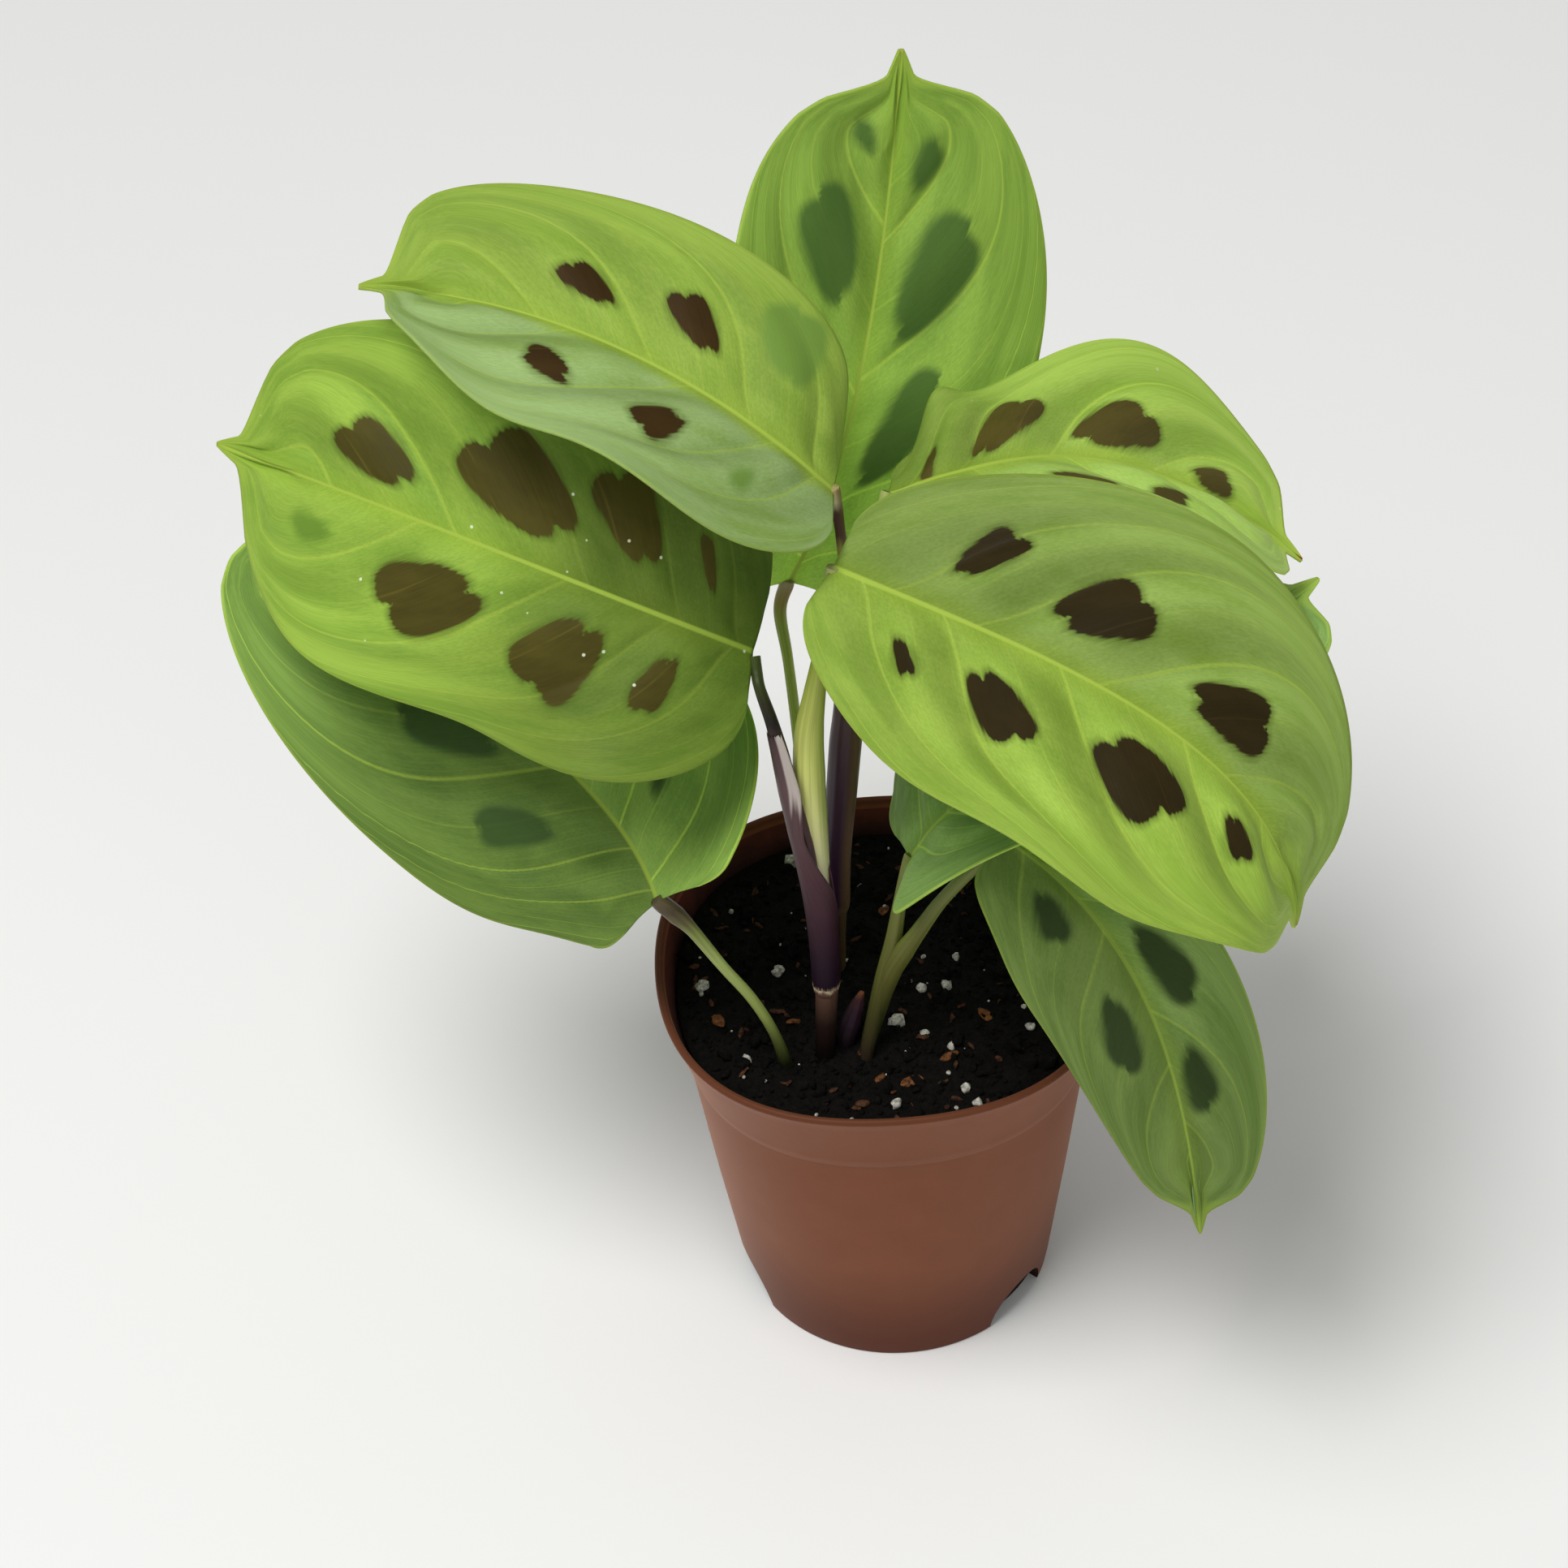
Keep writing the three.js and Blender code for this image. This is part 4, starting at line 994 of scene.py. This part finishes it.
def inner_wall_plastic(settings):
    """Inside of the wall: the same plastic, dull, a little darker just below the lip and almost black further
    down.
    """
    material, tree, shader = new_material("inner_wall_polypropylene")
    place = add_node(tree, "ShaderNodeTexCoord").outputs["Object"]
    height = add_node(tree, "ShaderNodeSeparateXYZ", inputs={0: place}).outputs["Z"]
    darkening_noise_size, darkening_noise_height = 6 * MM, 8 * MM
    darkening_noise = add_node(tree, "ShaderNodeTexNoise",
                     inputs={"Vector": place, "Scale": 1 / darkening_noise_size, "Detail": 5.0, "Roughness": 0.7})
    level = add_node(tree, "ShaderNodeMath", {"operation": "MULTIPLY_ADD"},
                     {0: darkening_noise, 1: -darkening_noise_height, 2: height})
    # Darker further down the inside of the wall, with an uneven edge
    darkening = (level, settings.height - 12 * MM, settings.height - 5 * MM, 0.85, 0.3)
    colour = painted(tree, linear("#6b3224"), [(linear("#0d0908"), darkening)])
    feed(shader, {"Base Color": colour, "Roughness": 0.7, "Specular IOR Level": 0.2})
    return material


def crumbly(name, colour, darker, grain_size, roughness, relief_height, shine):
    """Loose mineral or plant grains: matt, mottled from one tone to a darker one, and pitted."""
    material, tree, shader = new_material(name)
    place = add_node(tree, "ShaderNodeTexCoord").outputs["Object"]
    grain = add_node(tree, "ShaderNodeTexNoise",
                     inputs={"Vector": place, "Scale": 1 / grain_size, "Detail": 4.0, "Roughness": 0.7})
    share = add_node(tree, "ShaderNodeMapRange", inputs={"Value": grain, "From Min": 0.35, "From Max": 0.7})
    tone = painted(tree, darker, [(colour, share)])
    relief = add_node(tree, "ShaderNodeBump",
                      inputs={"Strength": 0.8, "Distance": relief_height, "Height": grain})
    feed(shader, {"Base Color": tone, "Normal": relief, "Roughness": roughness, "Specular IOR Level": shine})
    return material


def squared(settings, radius, angle, height):
    """A radius drawn out to a soft square towards the mouth."""
    round_below = 30 * MM
    rise = np.clip((height - round_below) / (settings.height - round_below), 0, 1)
    return radius * (1 - settings.squareness * rise * np.cos(4 * angle))


def wall_radius(settings, height):
    """The pot's outer radius at a height."""
    start = settings.height - settings.collar_height
    taper, flare = np.minimum(height / start, 1), np.clip((height - start) / settings.collar_height, 0, 1)
    return (towards((settings.foot_radius, settings.collar_radius), taper)
            + (settings.rim_radius - settings.collar_radius) * flare)


class PRAYERPLANT_OT_pot(bpy.types.Operator):
    """Spins the moulded pot, squares its mouth and opens the drain slots in its foot"""

    bl_idname = "prayer_plant.pot"
    bl_label = "Pot"

    def execute(self, context):
        settings = context.scene.prayer_plant_pot
        weld, crease = 1e-3, math.radians(35)
        bm = bmesh.new()
        profile = [bm.verts.new((x / MM, 0, z / MM)) for x, z in self.profile(settings)]
        edges = [bm.edges.new(pair) for pair in zip(profile, profile[1:])]
        bmesh.ops.spin(bm, geom=profile + edges, cent=(0, 0, 0), axis=(0, 0, 1), angle=2 * math.pi, steps=192,
                       use_merge=True)
        bmesh.ops.remove_doubles(bm, verts=bm.verts, dist=weld)
        for vert in bm.verts:
            radius = math.hypot(vert.co.x, vert.co.y)
            if radius > 0:
                angle = math.atan2(vert.co.y, vert.co.x)
                pull = squared(settings, 1.0, angle, vert.co.z * MM)
                vert.co.x *= pull
                vert.co.y *= pull
        bmesh.ops.recalc_face_normals(bm, faces=bm.faces)
        pot = new_piece("nursery_pot", bm, moulded_plastic(settings))
        cutter = self.slot_cutter(settings)
        cut = pot.modifiers.new("slots", "BOOLEAN")
        cut.operation = "DIFFERENCE"
        cut.solver = "EXACT"
        cut.object = cutter
        context.view_layer.update()
        cut_mesh = bpy.data.meshes.new_from_object(pot.evaluated_get(context.evaluated_depsgraph_get()))
        pot.modifiers.remove(cut)
        pot.data = cut_mesh
        pot.data.name = "nursery_pot"
        pot.data.set_sharp_from_angle(angle=crease)
        pot.data.materials.append(inner_wall_plastic(settings))
        lip_depth = 1.5 * MM
        for face in pot.data.polygons:
            inwards = face.normal.x * face.center.x + face.normal.y * face.center.y < 0
            if inwards and face.center.z < settings.height - lip_depth:
                face.material_index = 1
        bpy.data.objects.remove(cutter)
        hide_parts("pot")
        return {"FINISHED"}

    def profile(self, settings):
        """Half section of the pot, from the middle of the floor out, up over the lip and back inside."""
        wall, floor, seam, lip, foot_round = settings.wall, 1.2 * MM, 0.25 * MM, 0.75 * MM, 0.5 * MM
        start = settings.height - settings.collar_height

        def outer(z):
            return float(wall_radius(settings, z))

        flat = settings.foot_radius - foot_round
        points = [(0, 0), (flat, 0)]
        points += [(flat + foot_round * math.sin(a), foot_round - foot_round * math.cos(a))
                   for a in np.linspace(0.4, math.pi / 2, 4)]
        points += [(outer(z), z) for z in np.linspace(3 * MM, start - 0.6 * MM, 26)]
        points += [(outer(start) - 0.02 * MM, start - 0.3 * MM), (outer(start) + seam, start)]
        flare = np.linspace(0, 1, 9)[1:-1]
        inner, collar_top, hollowness = outer(start) + seam, settings.rim_radius - lip * 0.4, 1.15
        rise = settings.collar_height - 2 * lip
        points += [(inner + (collar_top - inner) * s ** hollowness, start + rise * s) for s in flare]
        middle = (settings.rim_radius - lip, settings.height - lip)
        points += [(middle[0] + lip * math.cos(a), middle[1] + lip * math.sin(a))
                   for a in np.linspace(-0.9, math.pi, 12)]
        points += [(outer(z) - wall - 0.3 * MM, z) for z in np.linspace(settings.height - 2 * MM, start, 5)]
        points += [(outer(z) - wall, z) for z in np.linspace(start - 1 * MM, floor + 1 * MM, 12)]
        points += [(settings.foot_radius - wall - 0.6 * MM, floor), (0, floor)]
        return points

    def slot_cutter(self, settings):
        """Three arched blocks that cross the foot of the wall."""
        slot_width, slot_height, slot_length, inset = 16 * MM, 9.2 * MM, 20 * MM, 6 * MM
        turns = [Matrix.Rotation(math.radians(angle), 4, "Z") for angle in (318, 198, 78)]
        bm = bmesh.new()
        lie = Matrix.Rotation(math.pi / 2, 4, "Y")
        size = Matrix.Diagonal((1, slot_width / 2 / MM, slot_height / MM, 1))
        move = Matrix.Translation(((settings.foot_radius - inset + slot_length / 2) / MM, 0, 0))
        for turn in turns:
            bmesh.ops.create_cone(bm, cap_ends=True, segments=48, radius1=1, radius2=1,
                                  depth=slot_length / MM, matrix=turn @ move @ size @ lie)
        bmesh.ops.scale(bm, vec=(MM, MM, MM), verts=bm.verts)
        mesh = bpy.data.meshes.new("slots")
        bm.to_mesh(mesh)
        bm.free()
        cutter = bpy.data.objects.new("slots", mesh)
        bpy.context.scene.collection.objects.link(cutter)
        return cutter


class PRAYERPLANT_OT_soil(bpy.types.Operator):
    """Fills the pot with peat and strews crumbs, perlite and bark over it"""

    bl_idname = "prayer_plant.soil"
    bl_label = "Potting Mix"

    def execute(self, context):
        settings = context.scene.prayer_plant_soil
        pot = context.scene.prayer_plant_pot
        peat = crumbly("moist_peat", tuple(settings.peat), linear("#020202"), 1.3 * MM, 0.9, 0.5 * MM, 0.12)
        bed = new_piece("peat_bed", self.bed(settings, pot), peat)
        crumbs = new_piece("peat_crumbs", self.crumbs(settings, pot), peat)
        white = crumbly("expanded_perlite", tuple(settings.perlite), linear("#78736a"), 0.9 * MM, 0.9,
                        0.15 * MM, 0.2)
        grains = new_piece("perlite_grains", self.grains(settings, pot), white)
        woody = crumbly("composted_bark", tuple(settings.bark), linear("#2c160c"), 0.8 * MM, 0.75,
                        0.15 * MM, 0.2)
        chips = new_piece("bark_chips", self.chips(settings, BARK_SPOTS, 9), woody)
        brown = crumbly("rotted_fibres", linear("#5c3a26"), linear("#1c100a"), 0.8 * MM, 0.85,
                        0.15 * MM, 0.15)
        fibre_spots = self.fibre_spots(settings, pot)
        fibres = new_piece("rotted_fibres", self.chips(settings, fibre_spots, 10), brown)
        for piece in (bed, crumbs, grains, chips, fibres):
            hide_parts("soil")
        return {"FINISHED"}

    def level(self, settings, x, y):
        """Height of the crumbled surface in mm at a place in mm."""
        coarse_size, fine_size, fine_share = 7, 1.6, 0.35
        fading, finer, layers = 0.9, 2.1, 4
        coarse = noise.fractal(Vector((x / coarse_size, y / coarse_size, 3.1)), fading, finer, layers)
        fine = noise.noise(Vector((x / fine_size, y / fine_size, 8.2)))
        return (settings.top + settings.relief * (coarse + fine_share * fine)) / MM

    def bed(self, settings, pot):
        """The body of the mix, closed all round: its top rows go out, then down the wall and back in."""
        gap, floor, brim = 0.5 * MM, 1.8 * MM, 0.6 * MM
        top_share, side_share, level_to_edge = 0.78, 0.96, 12

        def place(around, along):
            angle = 2 * math.pi * around
            edge = squared(pot, wall_radius(pot, settings.top) - pot.wall - gap, angle, settings.top)
            out = np.clip(along / top_share, 0, 1)
            down = np.clip((along - top_share) / (side_share - top_share), 0, 1)
            inward = np.clip((along - side_share) / (1 - side_share), 0, 1)
            height = settings.top - brim + (floor - settings.top) * down
            side = squared(pot, wall_radius(pot, height) - pot.wall - gap, angle, height)
            radius = np.where(down > 0, side * (1 - inward), edge * out) / MM
            x, y = radius * np.cos(angle), radius * np.sin(angle)
            z = height / MM
            for k in np.flatnonzero(down == 0):
                blend = min((1 - out[k]) * level_to_edge, 1)
                z[k] += (self.level(settings, x[k], y[k]) - (settings.top - brim) / MM) * blend
            return np.stack([x, y, z], axis=1)

        bm = grid_surface(200, 110, place)
        close_seams(bm)
        return bm

    def strewn(self, settings, pot, count, rng):
        """Places in mm strewn evenly over the surface."""
        edge = float(wall_radius(pot, settings.top) - pot.wall) / MM - 2.5
        radius = edge * np.sqrt(rng.random(count))
        angle = 2 * math.pi * rng.random(count)
        return [(r * math.cos(a), r * math.sin(a)) for r, a in zip(radius, angle)]

    def lump(self, bm, place, size, rng, subdivisions, roughness):
        """One rounded, uneven lump."""
        turn = Matrix.Rotation(rng.random() * 6.28, 4, Vector(rng.normal(size=3)).normalized())
        matrix = Matrix.Translation(place) @ turn @ Matrix.Diagonal((*size, 1))
        made = bmesh.ops.create_icosphere(bm, subdivisions=subdivisions, radius=1, matrix=matrix)
        centre = Vector(place)
        shift = Vector(rng.random(3) * 50)
        for vert in made["verts"]:
            push = noise.noise(vert.co * 1.1 + shift)
            vert.co += (vert.co - centre) * roughness * push

    def crumbs(self, settings, pot):
        """Fine crumbs and larger clods of peat, sunk a little into the surface."""
        rng = np.random.default_rng(11)
        bm = bmesh.new()
        uneven, raised = 1.2, 0.1
        # How many, their radii in mm, how far these differ by direction, and how finely each is divided
        kinds = ((settings.crumbs, (0.25, 0.7), (0.5, 1.5), 1), (settings.clods, (0.8, 1.7), (0.5, 1.3), 2))
        for count, radii, stretch, subdivisions in kinds:
            for x, y in self.strewn(settings, pot, count, rng):
                size = rng.uniform(*radii) * rng.uniform(*stretch, 3)
                height = self.level(settings, x, y) + raised * size[2]
                self.lump(bm, (x, y, height), size, rng, subdivisions, uneven)
        return bm

    def grains(self, settings, pot):
        """The perlite grains that can be told apart, and smaller ones strewn between them."""
        rng = np.random.default_rng(5)
        bm = bmesh.new()
        small, stretch, uneven, raised = (0.2, 0.65), (0.75, 1.15), 0.6, 0.2
        strewn = [(x, y, rng.uniform(*small)) for x, y in self.strewn(settings, pot, settings.grains, rng)]
        for x, y, radius in GRAIN_SPOTS + strewn:
            size = 0.9 * radius * rng.uniform(*stretch, 3)
            self.lump(bm, (x, y, self.level(settings, x, y) + raised * radius), size, rng, 2, uneven)
        return bm

    def fibre_spots(self, settings, pot):
        """Place, length and heading of the dark fibres."""
        rng = np.random.default_rng(9)
        lengths, headings = (0.8, 3.4), (0, 3.1)
        places = self.strewn(settings, pot, settings.fibres, rng)
        return [(x, y, rng.uniform(*lengths), rng.uniform(*headings)) for x, y in places]

    def chips(self, settings, spots, seed):
        """Flat, frayed bits, each at a place with a length and a heading."""
        rng = np.random.default_rng(seed)
        noise.seed_set(seed)
        bm = bmesh.new()
        tilt, raised, fraying = 0.25, 0.3, 0.5
        widths, heights = (0.12, 0.25), (0.2, 0.45)
        for x, y, length, heading in spots:
            turn = Matrix.Rotation(heading, 4, "Z") @ Matrix.Rotation(rng.uniform(-tilt, tilt), 4, "Y")
            size = Matrix.Diagonal((length / 2, length * rng.uniform(*widths), rng.uniform(*heights), 1))
            matrix = Matrix.Translation((x, y, self.level(settings, x, y) + raised)) @ turn @ size
            made = bmesh.ops.create_icosphere(bm, subdivisions=2, radius=1, matrix=matrix)
            shift = Vector(rng.random(3) * 50)
            for vert in made["verts"]:
                vert.co += fraying * noise.noise_vector(vert.co * 0.9 + shift)
        return bm


class PRAYERPLANT_OT_leaves(bpy.types.Operator):
    """Lays out the eight leaf blades"""

    bl_idname = "prayer_plant.leaves"
    bl_label = "Leaves"

    def execute(self, context):
        settings = context.scene.prayer_plant_leaf
        underside = leaf_underside()
        for name, own in LEAVES.items():
            build_blade(name, {**USUAL_LEAF, **own}, settings, underside)
        return {"FINISHED"}


class PRAYERPLANT_OT_sheathed_shoots(bpy.types.Operator):
    """Makes the purple front shoot with its open sheath, the pale sheath in it and the shoot behind"""

    bl_idname = "prayer_plant.sheathed_shoots"
    bl_label = "Sheathed Shoots"

    def execute(self, context):
        self.front()
        self.pale()
        self.back()
        return {"FINISHED"}

    def front(self):
        """The pinkish lower stem with the left leaf's petiole, and the open sheath round it."""
        lower = stem_surface(LOWER_FRONT_STEM)
        petiole = stem_surface(LEFT_LEAF_PETIOLE)
        shoot = new_piece("front_shoot", merged(lower, petiole), stem_skin("front_stem_skin", FRONT_SKIN))
        cells_round, cells_along = 40, 90
        shell = grid_surface(cells_round, cells_along, self.sheath_place)
        skin = stem_skin("purple_sheath_skin", FRONT_SKIN, membrane="#c6b9b3")
        sheath = new_piece("front_shoot_sheath", shell, skin)
        thick = sheath.modifiers.new("thickness", "SOLIDIFY")
        thick.thickness = SHEATH_THICKNESS
        thick.offset = -1
        for piece in (shoot, sheath):
            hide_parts("shoot_front")

    def sheath_place(self, around, along):
        """The sheath wraps right round below, and opens towards the pale sheath higher up."""
        opens, back_opens, front_closes = (0.2, 0.58), (0.2, 0.9), (0.55, 0.75)
        torn_top = 0.03 * np.sin(31 * around) + 0.02 * np.sin(83 * around + 1)
        along = along * (1 + torn_top)
        opening = smooth_step(*opens, along)
        back_edge = np.radians(3 + 115 * smooth_step(*back_opens, along))
        front_edge = np.radians(375 - 108 * opening + 38 * smooth_step(*front_closes, along))
        angle = back_edge + (front_edge - back_edge) * around
        edge = np.abs(2 * around - 1)

        def section(along_path, turn):
            overlap = 0.05 * (around - 0.5) * (1 - opening)
            flare = 0.1 * opening * smooth_step(0.75, 1, edge)
            return 1 + overlap + flare

        return around_path(PURPLE_SHEATH, along, angle, section)

    def pale(self):
        """The pale inner sheath with the front right leaf's petiole."""
        skin = stem_skin("pale_sheath_skin", PALE_SKIN, edge=("#76822f", 0.0, 0.4), roughness=0.38)
        pale = new_piece("pale_sheath", stem_surface(PALE_SHEATH, ribs=14, rib_height=0.025), skin)
        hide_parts("shoot_pale")

    def back(self):
        """The dark shoot behind with the upper left leaf's petiole, and its fork to the right back leaf."""
        skin = stem_skin("back_shoot_skin", BACK_SKIN, edge=("#6a5434", 0.97, 0.7))
        fork_skin = stem_skin("back_fork_skin", FORK_SKIN)
        back = new_piece("back_shoot", stem_surface(BACK_STEM), skin)
        fork = new_piece("back_shoot_fork", stem_surface(BACK_FORK), fork_skin)
        for piece in (back, fork):
            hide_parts("shoot_back")


class PRAYERPLANT_OT_petioles(bpy.types.Operator):
    """Makes the free petioles and the shoot bud"""

    bl_idname = "prayer_plant.petioles"
    bl_label = "Petioles and Bud"

    def execute(self, context):
        back = stem_skin("back_petiole_skin", BACK_PETIOLE_SKIN, edge=("#5a5e2a", 0.5, 0.25))
        left = stem_skin("left_petiole_skin", LEFT_PETIOLE_SKIN)
        right = stem_skin("right_petiole_skin", RIGHT_PETIOLE_SKIN, edge=("#5f4838", 0.7, 0.25))
        bud = stem_skin("bud_skin", BUD_SKIN)
        right_paths = [RIGHT_INNER_PETIOLE, RIGHT_OUTER_PETIOLE]
        parts = {
            "back_petiole": (back, [BACK_PETIOLE], "petiole_back", "green_stem"),
            "left_petiole": (left, [LEFT_PETIOLE], "petiole_left", "green_stem"),
            "right_petioles": (right, right_paths, "shoot_right", "green_stem"),
            "shoot_bud": (bud, [SHOOT_BUD], "bud", "purple_stem"),
        }
        for name, (skin, paths, node, slot) in parts.items():
            piece = new_piece(name, merged(*(stem_surface(path) for path in paths)), skin)
            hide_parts(node)
        return {"FINISHED"}


class PRAYERPLANT_OT_stage(bpy.types.Operator):
    """Sets the camera, the soft light and the pale floor"""

    bl_idname = "prayer_plant.stage"
    bl_label = "Stage"

    def execute(self, context):
        settings = context.scene.prayer_plant_stage
        self.camera(context)
        self.floor(context, settings)
        self.lights(context, settings)
        return {"FINISHED"}

    def camera(self, context):
        """Looks down on the pot, with the rim's middle where the photograph has it."""
        data = bpy.data.cameras.new("camera")
        data.sensor_fit = "HORIZONTAL"
        data.angle = math.radians(FIELD_OF_VIEW)
        camera = bpy.data.objects.new("camera", data)
        context.scene.collection.objects.link(camera)
        down, roll = math.radians(LOOK_DOWN), math.radians(CAMERA_ROLL)
        forward = Vector((0, math.cos(down), -math.sin(down)))
        level = Vector((1, 0, 0))
        upright = level.cross(forward)
        right = level * math.cos(roll) + upright * math.sin(roll)
        up = upright * math.cos(roll) - level * math.sin(roll)
        focal = PHOTO_WIDTH / 2 / math.tan(math.radians(FIELD_OF_VIEW) / 2)
        shift_right = (RIM_PIXEL[0] - PHOTO_WIDTH / 2) / focal * CAMERA_DISTANCE
        shift_up = -(RIM_PIXEL[1] - PHOTO_WIDTH / 2) / focal * CAMERA_DISTANCE
        rim = Vector((0, 0, context.scene.prayer_plant_pot.height / MM))
        place = (rim - forward * CAMERA_DISTANCE - right * shift_right - up * shift_up) * MM
        turn = Matrix((right, up, -forward)).transposed().to_4x4()
        camera.matrix_world = Matrix.Translation(place) @ turn
        context.scene.camera = camera

    def floor(self, context, settings):
        """A wide pale floor like matt paper."""
        bm = bmesh.new()
        bmesh.ops.create_grid(bm, x_segments=1, y_segments=1, size=3)
        mesh = bpy.data.meshes.new("floor")
        bm.to_mesh(mesh)
        bm.free()
        material, _, shader = new_material("matt_paper_floor")
        feed(shader, {"Base Color": settings.floor_colour, "Roughness": 0.9})
        mesh.materials.append(material)
        floor = bpy.data.objects.new("floor", mesh)
        context.scene.collection.objects.link(floor)

    def lights(self, context, settings):
        """Even white surroundings, a large light overhead and a faint one beside the camera."""
        context.scene.view_settings.view_transform = "Standard"
        world = bpy.data.worlds.new("studio")
        world.use_nodes = True
        feed(world.node_tree.nodes["Background"], {"Color": (1, 1, 1, 1), "Strength": 0.35})
        context.scene.world = world
        aim = Vector((0, 0, 130 * MM))
        # Place and size in m, and power
        lamps = {
            "overhead": (Vector((-0.5, -0.5, 1.9)), 1.0, settings.key_power),
            "beside_camera": (Vector((0.6, -1.1, 0.6)), 0.8, settings.fill_power),
        }
        for name, (place, size, power) in lamps.items():
            data = bpy.data.lights.new(name, "AREA")
            data.shape = "DISK"
            data.size = size
            data.energy = power
            lamp = bpy.data.objects.new(name, data)
            turn = (aim - place).to_track_quat("-Z", "Y").to_matrix().to_4x4()
            lamp.matrix_world = Matrix.Translation(place) @ turn
            context.scene.collection.objects.link(lamp)


class PRAYERPLANT_PT_panel(bpy.types.Panel):
    """Lists the plant's pieces"""

    bl_idname = "PRAYERPLANT_PT_panel"
    bl_label = "Prayer Plant"
    bl_space_type = "VIEW_3D"
    bl_region_type = "UI"
    bl_category = "Prayer Plant"

    def draw(self, context):
        for operator in OPERATORS:
            self.layout.operator(operator.bl_idname)


SETTINGS = {
    "prayer_plant_pot": PotSettings,
    "prayer_plant_soil": SoilSettings,
    "prayer_plant_leaf": LeafSettings,
    "prayer_plant_stage": StageSettings,
}
OPERATORS = [
    PRAYERPLANT_OT_stage,
    PRAYERPLANT_OT_pot,
    PRAYERPLANT_OT_soil,
    PRAYERPLANT_OT_sheathed_shoots,
    PRAYERPLANT_OT_petioles,
    PRAYERPLANT_OT_leaves,
]
CLASSES = [*SETTINGS.values(), *OPERATORS, PRAYERPLANT_PT_panel]


def register():
    for entry in CLASSES:
        bpy.utils.register_class(entry)
    for name, group in SETTINGS.items():
        setattr(bpy.types.Scene, name, PointerProperty(type=group))


def unregister():
    for name in SETTINGS:
        delattr(bpy.types.Scene, name)
    for entry in reversed(CLASSES):
        bpy.utils.unregister_class(entry)


def main():
    """Builds everything in order."""
    register()
    for operator in OPERATORS:
        group, name = operator.bl_idname.split(".")
        getattr(getattr(bpy.ops, group), name)()


if __name__ == "__main__":
    main()
